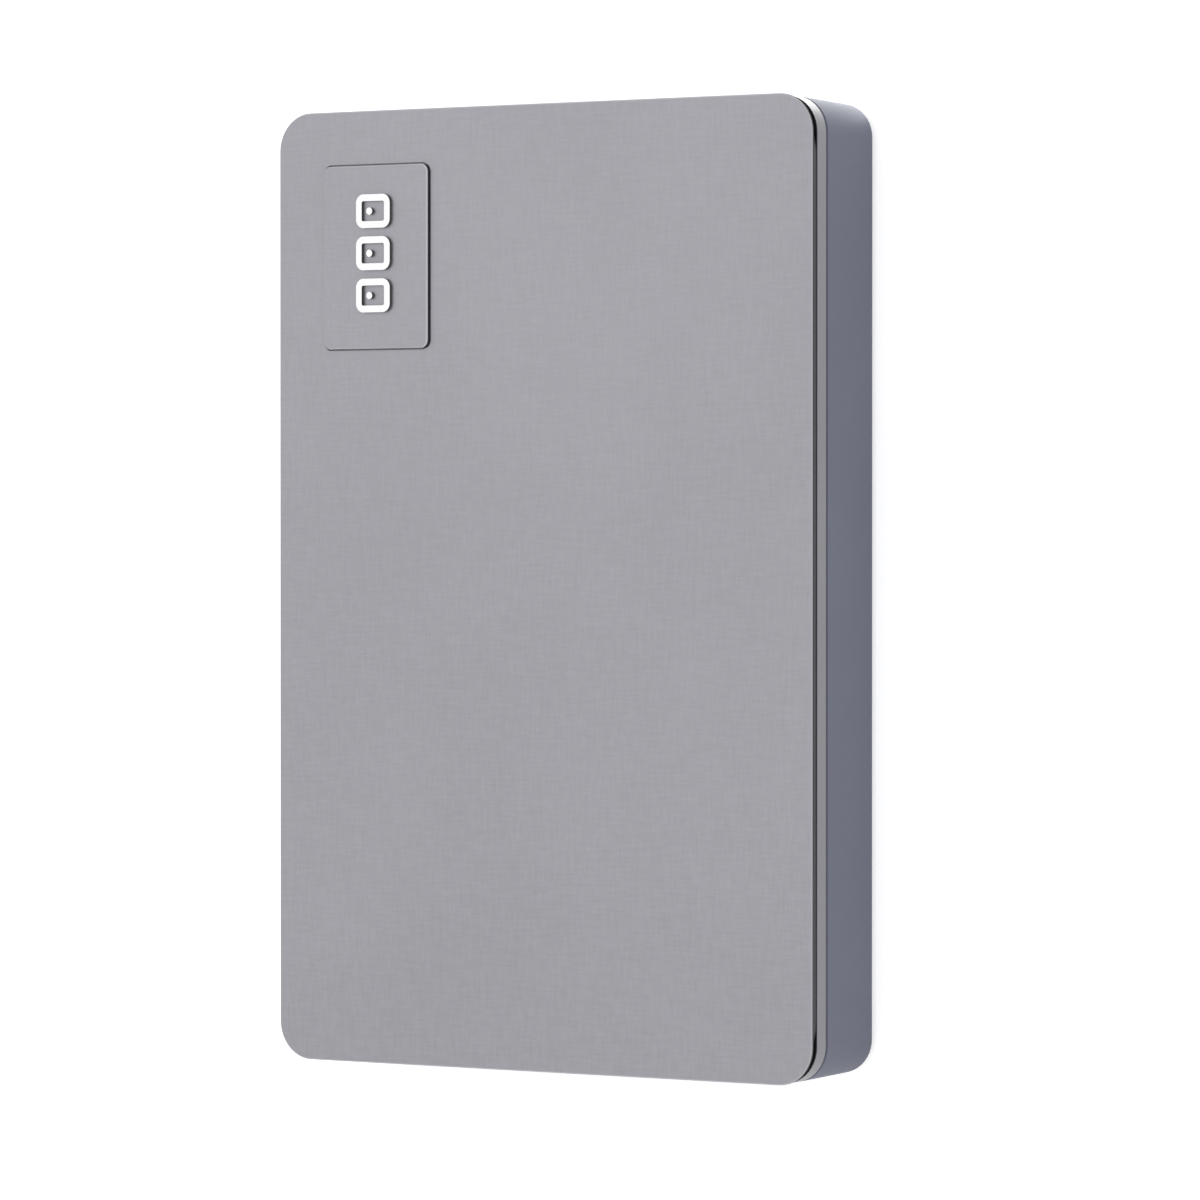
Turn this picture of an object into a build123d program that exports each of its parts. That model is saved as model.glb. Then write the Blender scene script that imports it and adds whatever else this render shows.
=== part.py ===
from build123d import *
import math
import os

# Portable external hard drive lying on its back, in millimetres.
# Z points up out of the face plate, Y runs along the case and X across it.
# The origin is on the resting plane, under the middle of the case.
# The case is built outward from the disks: disks, drive, rubber corners, shell.

# Disks and spindle
platter_radius = 32.5
platter_bore = 10.0
platter_thick = 0.635
platter_gap = 1.6
platter_edge = 0.1
shroud_gap = 0.5
flange_radius = 12.4
flange_thick = 0.65
hub_lift = 0.35
skirt_radius = 9.9
skirt_wall = 1.0
skirt_lift = 0.7
hub_roof = 2.07
rotor_thick = 0.8
rotor_height = 1.6
air_gap = 0.3
stator_slots = 9
slot_width = 1.3
slot_length = 2.2
slot_radius = 5.9
stator_height = 1.6
sleeve_radius = 3.5
sleeve_step = 1.5
shaft_radius = 2.0
shaft_gap = 0.05
shaft_lift = 0.3
clamp_thick = 0.63
clamp_hole = 3.0
clamp_screws_count = 4
clamp_screw_ring = 6.5
clamp_screw_radius = 0.6
clamp_screw_head = 1.1
clamp_screw_cap = 0.5
clamp_screw_length = 1.6

# Head arm, drawn parked with its heads beside the disks
head_overreach = 2.0
park_overhang = 1.0
swing_deg = 32.0
fly_gap = 0.1
slider_thick = 0.25
slider_length = 1.25
slider_width = 1.0
spring_thick = 0.1
spring_start = 22.0
spring_root = 3.6
spring_tip = 1.2
tab_length = 1.8
tab_width = 0.8
arm_thick = 0.4
arm_end = 27.0
arm_root = 10.0
arm_tip = 4.4
arm_hub_radius = 7.0
arm_hub_gap = 1.5
arm_slot_place = 15.0
arm_slot_length = 8.0
arm_slot_width = 2.6
bearing_radius = 4.5
post_radius = 2.5
post_gap = 0.05

# Voice coil and its magnet circuit
coil_thick = 1.0
coil_inner = 9.5
coil_outer = 17.5
coil_band = 2.4
coil_half_deg = 21.0
coil_hole_half_deg = 10.0
fork_radius = 18.5
fork_half_deg = 25.0
yoke_thick = 0.8
yoke_inner = 9.5
yoke_outer = 18.9
yoke_half_deg = 55.0
yoke_wall_gap = 0.2
yoke_side_gap = 2.1
magnet_thick = 0.8
magnet_inner = 10.3
magnet_outer = 18.0
magnet_half_deg = 43.0
yoke_post_radius = 1.2
yoke_post_ring = 14.0
yoke_post_deg = 51.0

# Drive base, cover and gasket
cover_thick = 0.9
cover_inset = 0.3
cover_gap = 0.5
gasket_thick = 0.3
gasket_width = 1.0
drive_corner = 2.0
base_floor = 1.0
board_pocket = 2.1
well_floor = 1.2
well_radius = 13.2
well_wall = 0.8
shroud_wall = 1.4
side_wall = 1.925
near_wall = 7.5
bay_corner = 3.0
side_hole_radius = 1.25
side_hole_depth = 1.4
side_hole_lift = 3.0
side_hole_near = 14.0
side_hole_far = 9.6

# Rubber corners and foam pad round the drive
bumper_side = 2.475
bumper_end = 1.05
bumper_ledge = 1.0
bumper_near = 1.4
bumper_arm = 14.0
bumper_leg = 6.0
bumper_height = 7.2
top_pad_thick = 1.3
top_pad_side = 12.0
top_pad_end = 20.0

# Case walls
bridge_bay = 14.05
case_corner = 4.55
case_wall = 1.55
case_floor = 1.4
draft_deg = 1.8
back_round = 1.2
seam_chamfer = 0.15

# Front stack, from the face down
plate_thick = 0.4
plate_overhang = 0.15
plate_bevel = 0.15
carrier_thick = 1.0
carrier_inset = 0.1
carrier_corner = 7.0
band_height = 2.1
band_bevel = 0.08
seam_gap = 0.35
seam_reveal = 0.25
deck_thick = 1.2

# Lip and catches that close the case
lip_depth = 1.2
lip_thick = 0.8
lip_gap = 0.1
catch_length = 6.0
catch_height = 0.5
catch_reach = 0.3
catch_gap = 0.06
catch_pitch = 36.0

# Raised tile in a window of the plate, and the marks on it
tile_width = 15.8
tile_length = 22.8
tile_height = 0.5
tile_corner = 1.0
tile_gap = 0.2
tile_side_margin = 7.05
tile_end_margin = 6.85
tile_bevel = 0.15
mark_count = 3
mark_width = 5.1
mark_length = 4.2
mark_corner = 1.1
mark_stroke = 0.85
mark_gap = 1.05
mark_shift = 0.45
mark_height = 0.4
dot_radius = 0.45
dot_shift = 0.55

# Feet
foot_radius = 4.0
foot_proud = 0.4
foot_sink = 0.5
foot_fit = 0.05
foot_edge = 0.15
foot_inset = 10.0

# Plan of the drive and the case, from the disks out
shroud_radius = platter_radius + shroud_gap
bay_width = 2 * shroud_radius
drive_width = bay_width + 2 * side_wall
pivot_x = bay_width / 2 - yoke_outer - yoke_side_gap
pivot_span = platter_radius + arm_hub_radius + arm_hub_gap
pivot_back = math.sqrt(pivot_span**2 - pivot_x**2)
drive_length = near_wall + yoke_wall_gap + yoke_outer + pivot_back + shroud_radius + shroud_wall
cavity_width = drive_width + 2 * bumper_side
cavity_length = bridge_bay + drive_length + bumper_end
cavity_corner = case_corner - case_wall
case_width = cavity_width + 2 * case_wall
case_length = cavity_length + 2 * case_wall
plate_width = case_width + 2 * plate_overhang
plate_length = case_length + 2 * plate_overhang
plate_corner = case_corner + plate_overhang
drive_far_y = cavity_length / 2 - bumper_end
drive_near_y = drive_far_y - drive_length
drive_mid_y = (drive_far_y + drive_near_y) / 2
spindle_y = drive_far_y - shroud_wall - shroud_radius
pivot_y = spindle_y - pivot_back

# Levels, from the resting plane up
back_z = foot_proud
floor_z = back_z + case_floor
drive_z = floor_z + bumper_ledge
well_z = drive_z + well_floor
skirt_z = well_z + skirt_lift
base_floor_z = drive_z + board_pocket + base_floor
hub_z = base_floor_z + hub_lift
low_platter_z = hub_z + flange_thick
low_platter_top = low_platter_z + platter_thick
high_platter_z = low_platter_top + platter_gap
high_platter_top = high_platter_z + platter_thick
hub_hollow_z = high_platter_top - hub_roof
clamp_top = high_platter_top + clamp_thick
cover_z = clamp_top + clamp_screw_cap + cover_gap
base_rim_z = cover_z - gasket_thick
drive_top_z = cover_z + cover_thick
deck_z = drive_top_z + top_pad_thick
carrier_z = deck_z + deck_thick
band_z = carrier_z - band_height
seam_z = band_z - seam_gap
plate_z = carrier_z + carrier_thick
face_z = plate_z + plate_thick
shell_height = seam_z - back_z
taper_run = shell_height * math.tan(math.radians(draft_deg))

# Lip of the top cover inside the shell
lip_outer_length = cavity_length - 2 * lip_gap
lip_outer_width = cavity_width - 2 * lip_gap
lip_outer_corner = cavity_corner - lip_gap
lip_inner_length = lip_outer_length - 2 * lip_thick
lip_inner_width = lip_outer_width - 2 * lip_thick
lip_inner_corner = lip_outer_corner - lip_thick
catch_z = seam_z - lip_depth + catch_height

# Turning parts of the motor
rotor_radius = skirt_radius - skirt_wall
stator_radius = rotor_radius - rotor_thick - air_gap

# Parked direction of the head arm, and the plane its pieces are drawn on
arm_reach = platter_radius + head_overreach
park_radius = platter_radius + park_overhang
park_cos = (arm_reach**2 + pivot_span**2 - park_radius**2) / (2 * arm_reach * pivot_span)
arm_turn = math.atan2(pivot_back, -pivot_x) + math.acos(park_cos)
arm_plane = Plane((pivot_x, pivot_y, 0), (math.cos(arm_turn), math.sin(arm_turn), 0), (0, 0, 1))
spring_end = arm_reach + slider_length / 2
tab_end = spring_end + tab_length

# Levels of the four heads, two to a disk
head_stack = fly_gap + slider_thick
spring_1_z = low_platter_z - head_stack - spring_thick
spring_2_z = low_platter_top + head_stack
spring_3_z = high_platter_z - head_stack - spring_thick
spring_4_z = high_platter_top + head_stack
spring_levels = (spring_1_z, spring_2_z, spring_3_z, spring_4_z)
slider_levels = (
    spring_1_z + spring_thick,
    spring_2_z - slider_thick,
    spring_3_z + spring_thick,
    spring_4_z - slider_thick,
)
low_arm_z = spring_1_z - arm_thick
mid_arm_z = spring_2_z + spring_thick
mid_arm_thick = spring_3_z - mid_arm_z
top_arm_z = spring_4_z + spring_thick
arm_hub_height = top_arm_z + arm_thick - low_arm_z

# Levels of the coil and magnets, and the plane at the middle of the coil's swing
wedge_reach = 3 * yoke_outer
coil_z = mid_arm_z + mid_arm_thick / 2 - coil_thick / 2
low_magnet_z = base_floor_z + yoke_thick
magnet_gap = coil_z - low_magnet_z - magnet_thick
high_magnet_z = coil_z + coil_thick + magnet_gap
high_yoke_z = high_magnet_z + magnet_thick
yoke_turn = arm_turn + math.pi - math.radians(swing_deg / 2)
yoke_plane = Plane((pivot_x, pivot_y, 0), (math.cos(yoke_turn), math.sin(yoke_turn), 0), (0, 0, 1))
yoke_post_x = yoke_post_ring * math.cos(math.radians(yoke_post_deg))
yoke_post_y = yoke_post_ring * math.sin(math.radians(yoke_post_deg))

# Park ramp, air filter and flexible circuit
ramp_gap = 0.05
ramp_fin_start = 0.4
ramp_fin_width = 3.3
ramp_fin_shift = 0.85
ramp_post_start = 0.4
ramp_post_length = 4.2
ramp_post_width = 5.0
ramp_post_shift = 1.0
filter_thick = 3.0
filter_length = 6.0
filter_height = 4.0
filter_wall_gap = 1.8
filter_end_gap = 1.3
bracket_width = 9.0
bracket_length = 7.0
bracket_height = 2.6
bracket_beside_pivot = 20.0
bracket_below_pivot = 12.0
ribbon_thick = 0.14
ribbon_height = 2.2
ribbon_lift = 1.2
ribbon_hub_gap = 0.5
ribbon_turn_deg = 215.0

# Screws of the drive cover
cover_screw_radius = 0.75
cover_screw_head = 1.55
cover_screw_sink = 0.05
cover_screw_land = 0.05
cover_screw_length = 3.4
cover_screw_tip_gap = 0.4
cover_screw_fit = 0.06
cover_screw_key = 0.6
cover_screw_key_depth = 0.45
cover_screw_inset = 3.6
waist_screw_inset = 2.35
waist_screw_share = 0.42
corner_screw_x = drive_width / 2 - cover_screw_inset
waist_screw_x = drive_width / 2 - waist_screw_inset
waist_screw_y = spindle_y - waist_screw_share * shroud_radius
rim_screw_spots = [
    (corner_screw_x, drive_far_y - cover_screw_inset),
    (-corner_screw_x, drive_far_y - cover_screw_inset),
    (corner_screw_x, drive_near_y + cover_screw_inset),
    (-corner_screw_x, drive_near_y + cover_screw_inset),
    (waist_screw_x, waist_screw_y),
    (-waist_screw_x, waist_screw_y),
]
cover_screw_spots = rim_screw_spots + [(pivot_x, pivot_y)]

# Drive board under the base
board_thick = 0.8
board_lift = 0.5
board_side = 3.925
board_stop = 8.4
board_gap = 0.4
board_chip_height = 0.65
board_boss_radius = 2.2
board_screw_radius = 0.7
board_screw_head = 1.5
board_screw_cap = 0.4
board_screw_length = 1.6
board_screw_inset = 3.2
board_screw_fit = 0.15
controller_size = 10.0
controller_share = 0.41
memory_width = 6.0
memory_length = 8.0
memory_beside = 16.0
driver_size = 6.0
driver_beside = 17.0
board_width = drive_width - 2 * board_side
board_length = spindle_y - drive_near_y - board_stop - board_gap
drive_board_z = drive_z + board_lift
drive_board_top = drive_board_z + board_thick
board_mid_y = drive_near_y + board_gap + board_length / 2
board_screw_x = board_width / 2 - board_screw_inset
board_screw_far_y = drive_near_y + board_gap + board_length - board_screw_inset
board_screw_near_y = drive_near_y + near_wall + board_screw_inset
board_screw_spots = [
    (-board_screw_x, board_screw_far_y),
    (board_screw_x, board_screw_far_y),
    (-board_screw_x, board_screw_near_y),
    (board_screw_x, board_screw_near_y),
]

# Connector between the drive and the bridge board
socket_width = 39.4
socket_height = 2.0
socket_nose = 4.2
socket_back = 4.4
socket_slot_gap = 0.1
socket_slot_side = 0.7
plug_skin = 1.2
plug_roof = 0.6
plug_fit = 0.1
plug_back = 1.4
plug_x = -5.0
plug_lift = 2.4
tongue_inset = 0.4
tongue_thick = 0.8
plug_mid_z = drive_z + plug_lift
plug_mouth = socket_nose + tongue_inset
plug_depth = plug_mouth + plug_back
plug_width = socket_width + 2 * plug_fit + 2 * plug_skin
plug_height = socket_height + 2 * plug_fit + 2 * plug_roof
socket_z = plug_mid_z - socket_height / 2
tongue_width = socket_width - 2 * socket_slot_side - 2 * socket_slot_gap

# Bridge board at the port end
bridge_thick = 0.8
bridge_width = 50.0
bridge_wall_gap = 0.6
bridge_drive_gap = 0.4
bridge_post_radius = 1.6
bridge_post_inset = 3.5
bridge_chip_size = 7.0
bridge_chip_height = 0.9
bridge_chip_inset = 9.5
bridge_memory_width = 5.0
bridge_memory_length = 4.0
bridge_memory_inset = 5.0
bridge_top_z = socket_z
bridge_z = bridge_top_z - bridge_thick
bridge_near_y = -cavity_length / 2 + bridge_wall_gap
bridge_far_y = drive_near_y - bridge_drive_gap
bridge_length = bridge_far_y - bridge_near_y
bridge_mid_y = (bridge_near_y + bridge_far_y) / 2

# Port at the near end, with a wide and a narrow bay
port_width = 12.2
port_height = 2.7
port_corner = 0.7
port_depth = 6.0
port_recess = 0.5
port_skin = 0.25
port_divider = 0.4
port_wide_bay = 6.9
port_fit = 0.2
port_x = 0.0
blade_thick = 0.65
blade_side_gap = 0.8
blade_setback = 0.9
port_back_block = 1.6
contact_count = 5
contact_thick = 0.1
contact_width = 0.3
contact_wide_pitch = 0.95
contact_narrow_pitch = 0.5
contact_length = 2.6
port_z = bridge_top_z + port_height / 2
port_front_y = -case_length / 2 + port_recess
port_back_y = port_front_y + port_depth
port_inner_width = port_width - 2 * port_skin
port_inner_height = port_height - 2 * port_skin
port_narrow_bay = port_inner_width - port_wide_bay - port_divider
wide_bay_x = port_x - port_inner_width / 2 + port_wide_bay / 2
narrow_bay_x = port_x + port_inner_width / 2 - port_narrow_bay / 2

# Status light
pipe_radius = 0.9
pipe_fit = 0.1
pipe_collar = 1.3
pipe_collar_length = 0.8
pipe_lift = 0.2
pipe_beside = 16.0
pipe_tail = 0.8
light_gap = 0.15
light_width = 1.6
light_depth = 0.8
light_height = 1.6
pipe_x = port_x + pipe_beside
pipe_z = bridge_top_z + pipe_lift + pipe_collar
pipe_front_y = -case_length / 2 + taper_run
pipe_back_y = -cavity_length / 2 + pipe_collar_length + pipe_tail

os.makedirs("parts", exist_ok=True)

# Lower shell: a drafted tray with rounded back edges, foot pockets, board posts and end openings.
with BuildPart() as lower_shell:
    with BuildSketch(Plane.XY.offset(back_z)):
        RectangleRounded(
            case_width - 2 * taper_run,
            case_length - 2 * taper_run,
            case_corner - taper_run,
        )
    extrude(amount=shell_height, taper=-draft_deg)
    fillet(lower_shell.faces().sort_by(Axis.Z)[0].edges(), back_round)
    chamfer(lower_shell.faces().sort_by(Axis.Z)[-1].edges(), seam_chamfer)
    with BuildSketch(Plane.XY.offset(floor_z)):
        RectangleRounded(cavity_width, cavity_length, cavity_corner)
    extrude(amount=shell_height, mode=Mode.SUBTRACT)
    with BuildSketch(Plane.XY.offset(floor_z)):
        with Locations((0, bridge_mid_y)):
            with GridLocations(bridge_width - 2 * bridge_post_inset, 0, 2, 1):
                Circle(bridge_post_radius)
    extrude(amount=bridge_z - floor_z)
    with BuildSketch(Plane.XY.offset(back_z)):
        with GridLocations(case_width - 2 * foot_inset, case_length - 2 * foot_inset, 2, 2):
            Circle(foot_radius + foot_fit)
    extrude(amount=foot_sink, mode=Mode.SUBTRACT)
    with BuildSketch(Plane.XZ.offset(cavity_length / 2 - case_wall)):
        with Locations((port_x, port_z)):
            RectangleRounded(port_width + 2 * port_fit, port_height + 2 * port_fit, port_corner)
        with Locations((pipe_x, pipe_z)):
            Circle(pipe_radius + pipe_fit)
    extrude(amount=3 * case_wall, mode=Mode.SUBTRACT)
    with Locations((0, 0, catch_z)):
        with GridLocations(cavity_width, catch_pitch, 2, 3):
            Box(
                2 * (catch_reach + catch_gap),
                catch_length + 2 * catch_gap,
                catch_height + 2 * catch_gap,
                mode=Mode.SUBTRACT,
            )
lower_shell.part.label = "lower_shell"
export_step(lower_shell.part, "parts/lower_shell.step")

# Top cover: deck and side band, a step that leaves a shadow gap over the lower shell,
# and the lip whose catches snap into that shell.
with BuildPart() as top_cover:
    with BuildSketch(Plane.XY.offset(band_z)):
        RectangleRounded(case_width, case_length, case_corner)
    extrude(amount=band_height)
    chamfer(top_cover.faces().sort_by(Axis.Z)[-1].edges(), band_bevel)
    with BuildSketch(Plane.XY.offset(seam_z)):
        RectangleRounded(
            case_width - 2 * seam_reveal,
            case_length - 2 * seam_reveal,
            case_corner - seam_reveal,
        )
    extrude(amount=seam_gap)
    with BuildSketch(Plane.XY.offset(seam_z - lip_depth)):
        RectangleRounded(lip_outer_width, lip_outer_length, lip_outer_corner)
    extrude(amount=lip_depth)
    with Locations((0, 0, catch_z)):
        with GridLocations(lip_outer_width - lip_thick, catch_pitch, 2, 3):
            Box(2 * (catch_reach + lip_gap) + lip_thick, catch_length, catch_height)
    with BuildSketch(Plane.XY.offset(seam_z - lip_depth)):
        RectangleRounded(lip_inner_width, lip_inner_length, lip_inner_corner)
    extrude(amount=deck_z - seam_z + lip_depth, mode=Mode.SUBTRACT)
top_cover.part.label = "top_cover"
export_step(top_cover.part, "parts/top_cover.step")

# Plate carrier: dark backing that shows as a line under the plate's edge and round the tile.
# Its wider corner rounds leave a deeper gap under each corner of the plate.
with BuildPart() as plate_carrier:
    with BuildSketch(Plane.XY.offset(carrier_z)):
        RectangleRounded(
            case_width - 2 * carrier_inset,
            case_length - 2 * carrier_inset,
            carrier_corner,
        )
    extrude(amount=carrier_thick)
plate_carrier.part.label = "plate_carrier"
export_step(plate_carrier.part, "parts/plate_carrier.step")

# Face plate: thin sheet with a bevelled upper edge and a window for the tile.
tile_x = -plate_width / 2 + tile_side_margin + tile_width / 2
tile_y = plate_length / 2 - tile_end_margin - tile_length / 2
with BuildPart() as face_plate:
    with BuildSketch(Plane.XY.offset(plate_z)):
        RectangleRounded(plate_width, plate_length, plate_corner)
    extrude(amount=plate_thick)
    chamfer(face_plate.faces().sort_by(Axis.Z)[-1].edges(), plate_bevel)
    with BuildSketch(Plane.XY.offset(plate_z)):
        with Locations((tile_x, tile_y)):
            RectangleRounded(tile_width + 2 * tile_gap, tile_length + 2 * tile_gap, tile_corner + tile_gap)
    extrude(amount=plate_thick, mode=Mode.SUBTRACT)
face_plate.part.label = "face_plate"
export_step(face_plate.part, "parts/face_plate.step")

# Raised tile standing in that window, near one corner of the face.
with BuildPart() as tag_tile:
    with BuildSketch(Plane.XY.offset(plate_z)):
        with Locations((tile_x, tile_y)):
            RectangleRounded(tile_width, tile_length, tile_corner)
    extrude(amount=plate_thick + tile_height)
    chamfer(tag_tile.faces().sort_by(Axis.Z)[-1].edges(), tile_bevel)
tag_tile.part.label = "tag_tile"
export_step(tag_tile.part, "parts/tag_tile.step")

# Raised marks on the tile: a column of three drive bays, each a frame with a dot.
with BuildPart() as tag_marks:
    with BuildSketch(Plane.XY.offset(face_z + tile_height)):
        with Locations((tile_x, tile_y + mark_shift)):
            with GridLocations(0, mark_length + mark_gap, 1, mark_count):
                RectangleRounded(mark_width, mark_length, mark_corner)
                RectangleRounded(
                    mark_width - 2 * mark_stroke,
                    mark_length - 2 * mark_stroke,
                    mark_corner - mark_stroke,
                    mode=Mode.SUBTRACT,
                )
        with Locations((tile_x - dot_shift, tile_y + mark_shift)):
            with GridLocations(0, mark_length + mark_gap, 1, mark_count):
                Circle(dot_radius)
    extrude(amount=mark_height)
tag_marks.part.label = "tag_marks"
export_step(tag_marks.part, "parts/tag_marks.step")

# Four round feet set into the back.
with BuildPart() as rubber_feet:
    with BuildSketch():
        with GridLocations(case_width - 2 * foot_inset, case_length - 2 * foot_inset, 2, 2):
            Circle(foot_radius)
    extrude(amount=foot_proud + foot_sink)
    chamfer(rubber_feet.edges().group_by(Axis.Z)[0], foot_edge)
rubber_feet.part.label = "rubber_feet"
export_step(rubber_feet.part, "parts/rubber_feet.step")

# Port shell: a flat metal sleeve with a wide and a narrow bay.
with BuildPart() as port_shell:
    with BuildSketch(Plane.XZ.offset(-port_back_y)):
        with Locations((port_x, port_z)):
            RectangleRounded(port_width, port_height, port_corner)
        with Locations((wide_bay_x, port_z)):
            RectangleRounded(
                port_wide_bay,
                port_inner_height,
                port_corner - port_skin,
                mode=Mode.SUBTRACT,
            )
        with Locations((narrow_bay_x, port_z)):
            RectangleRounded(
                port_narrow_bay,
                port_inner_height,
                port_corner - port_skin,
                mode=Mode.SUBTRACT,
            )
    extrude(amount=port_depth)
port_shell.part.label = "port_shell"
export_step(port_shell.part, "parts/port_shell.step")

# Port tongues: one moulding with a blade in each bay.
with BuildPart() as port_tongue:
    with BuildSketch(Plane.XZ.offset(-port_back_y)):
        with Locations((wide_bay_x, port_z)):
            RectangleRounded(port_wide_bay, port_inner_height, port_corner - port_skin)
        with Locations((narrow_bay_x, port_z)):
            RectangleRounded(port_narrow_bay, port_inner_height, port_corner - port_skin)
    extrude(amount=port_back_block)
    with BuildSketch(Plane.XZ.offset(-port_back_y)):
        with Locations((port_x, port_z)):
            Rectangle(port_width, port_inner_height)
    extrude(amount=-port_back_block / 2)
    with BuildSketch(Plane.XZ.offset(-port_back_y)):
        with Locations((wide_bay_x, port_z)):
            Rectangle(port_wide_bay - 2 * blade_side_gap, blade_thick)
        with Locations((narrow_bay_x, port_z)):
            Rectangle(port_narrow_bay - 2 * blade_side_gap, blade_thick)
    extrude(amount=port_depth - blade_setback)
port_tongue.part.label = "port_tongue"
export_step(port_tongue.part, "parts/port_tongue.step")

# Port contacts: five flat springs under each blade.
contact_z = port_z - blade_thick / 2 - contact_thick / 2
contact_y = port_front_y + blade_setback + contact_length / 2
with BuildPart() as port_contacts:
    with Locations((wide_bay_x, contact_y, contact_z)):
        with GridLocations(contact_wide_pitch, 0, contact_count, 1):
            Box(contact_width, contact_length, contact_thick)
    with Locations((narrow_bay_x, contact_y, contact_z)):
        with GridLocations(contact_narrow_pitch, 0, contact_count, 1):
            Box(contact_width, contact_length, contact_thick)
port_contacts.part.label = "port_contacts"
export_step(port_contacts.part, "parts/port_contacts.step")

# Light pipe: a clear rod through the end wall with a collar behind it.
with BuildPart() as light_pipe:
    with BuildSketch(Plane.XZ.offset(-pipe_back_y)):
        with Locations((pipe_x, pipe_z)):
            Circle(pipe_radius)
    extrude(amount=pipe_back_y - pipe_front_y)
    with BuildSketch(Plane.XZ.offset(cavity_length / 2)):
        with Locations((pipe_x, pipe_z)):
            Circle(pipe_collar)
    extrude(amount=-pipe_collar_length)
light_pipe.part.label = "light_pipe"
export_step(light_pipe.part, "parts/light_pipe.step")

# Status light on the bridge board, behind the light pipe.
with BuildPart() as status_light:
    with Locations((pipe_x, pipe_back_y + light_gap + light_depth / 2, bridge_top_z)):
        Box(
            light_width,
            light_depth,
            light_height,
            align=(Align.CENTER, Align.CENTER, Align.MIN),
        )
status_light.part.label = "status_light"
export_step(status_light.part, "parts/status_light.step")

# Bridge board between the port and the drive's connector.
with BuildPart() as bridge_board:
    with BuildSketch(Plane.XY.offset(bridge_z)):
        with Locations((0, bridge_mid_y)):
            Rectangle(bridge_width, bridge_length)
    extrude(amount=bridge_thick)
bridge_board.part.label = "bridge_board"
export_step(bridge_board.part, "parts/bridge_board.step")

with BuildPart() as bridge_chips:
    with BuildSketch(Plane.XY.offset(bridge_top_z)):
        with Locations((bridge_chip_inset - bridge_width / 2, bridge_near_y + bridge_chip_size / 2)):
            Rectangle(bridge_chip_size, bridge_chip_size)
        with Locations((bridge_width / 2 - bridge_memory_inset, bridge_mid_y)):
            Rectangle(bridge_memory_width, bridge_memory_length)
    extrude(amount=bridge_chip_height)
bridge_chips.part.label = "bridge_chips"
export_step(bridge_chips.part, "parts/bridge_chips.step")

# Socket on the bridge board, pushed into the drive's connector.
with BuildPart() as bridge_socket:
    with BuildSketch(Plane.XZ.offset(-drive_near_y - socket_nose)):
        with Locations((plug_x, plug_mid_z)):
            Rectangle(socket_width, socket_height)
    extrude(amount=socket_nose + socket_back)
    with BuildSketch(Plane.XZ.offset(-drive_near_y - socket_nose)):
        with Locations((plug_x, plug_mid_z)):
            Rectangle(tongue_width + 2 * socket_slot_gap, tongue_thick + 2 * socket_slot_gap)
    extrude(amount=socket_nose, mode=Mode.SUBTRACT)
bridge_socket.part.label = "bridge_socket"
export_step(bridge_socket.part, "parts/bridge_socket.step")

# Drive connector: a shroud with a flat tongue.
with BuildPart() as drive_plug:
    with BuildSketch(Plane.XZ.offset(-drive_near_y)):
        with Locations((plug_x, plug_mid_z)):
            Rectangle(plug_width, plug_height)
    extrude(amount=-plug_depth)
    with BuildSketch(Plane.XZ.offset(-drive_near_y)):
        with Locations((plug_x, plug_mid_z)):
            Rectangle(socket_width + 2 * plug_fit, socket_height + 2 * plug_fit)
            Rectangle(tongue_width, tongue_thick, mode=Mode.SUBTRACT)
    extrude(amount=-plug_mouth, mode=Mode.SUBTRACT)
    with BuildSketch(Plane.XZ.offset(-drive_near_y)):
        with Locations((plug_x, plug_mid_z)):
            Rectangle(tongue_width, tongue_thick)
    extrude(amount=-tongue_inset, mode=Mode.SUBTRACT)
drive_plug.part.label = "drive_plug"
export_step(drive_plug.part, "parts/drive_plug.step")

# Rubber corners: a ledge under each corner of the drive and walls that wrap it.
bumper_outer_x = cavity_width / 2
bumper_inner_x = drive_width / 2 - bumper_leg
bumper_reach_x = bumper_outer_x - bumper_inner_x
bumper_far_mid = cavity_length / 2 - bumper_arm / 2
bumper_near_mid = drive_near_y - bumper_near + bumper_arm / 2
with BuildPart() as corner_bumpers:
    with BuildSketch(Plane.XY.offset(floor_z)):
        with Locations((0, bumper_far_mid), (0, bumper_near_mid)):
            with GridLocations(bumper_outer_x + bumper_inner_x, 0, 2, 1):
                Rectangle(bumper_reach_x, bumper_arm)
        RectangleRounded(cavity_width, cavity_length, cavity_corner, mode=Mode.INTERSECT)
    extrude(amount=bumper_height)
    with BuildSketch(Plane.XY.offset(drive_z)):
        with Locations((0, drive_mid_y)):
            RectangleRounded(drive_width, drive_length, drive_corner)
    extrude(amount=bumper_height, mode=Mode.SUBTRACT)
corner_bumpers.part.label = "corner_bumpers"
export_step(corner_bumpers.part, "parts/corner_bumpers.step")

# Foam pad between the drive and the deck of the top cover.
with BuildPart() as top_pad:
    with BuildSketch(Plane.XY.offset(drive_top_z)):
        with Locations((0, drive_mid_y)):
            Rectangle(drive_width - 2 * top_pad_side, drive_length - 2 * top_pad_end)
    extrude(amount=deck_z - drive_top_z)
top_pad.part.label = "top_pad"
export_step(top_pad.part, "parts/top_pad.step")

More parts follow.
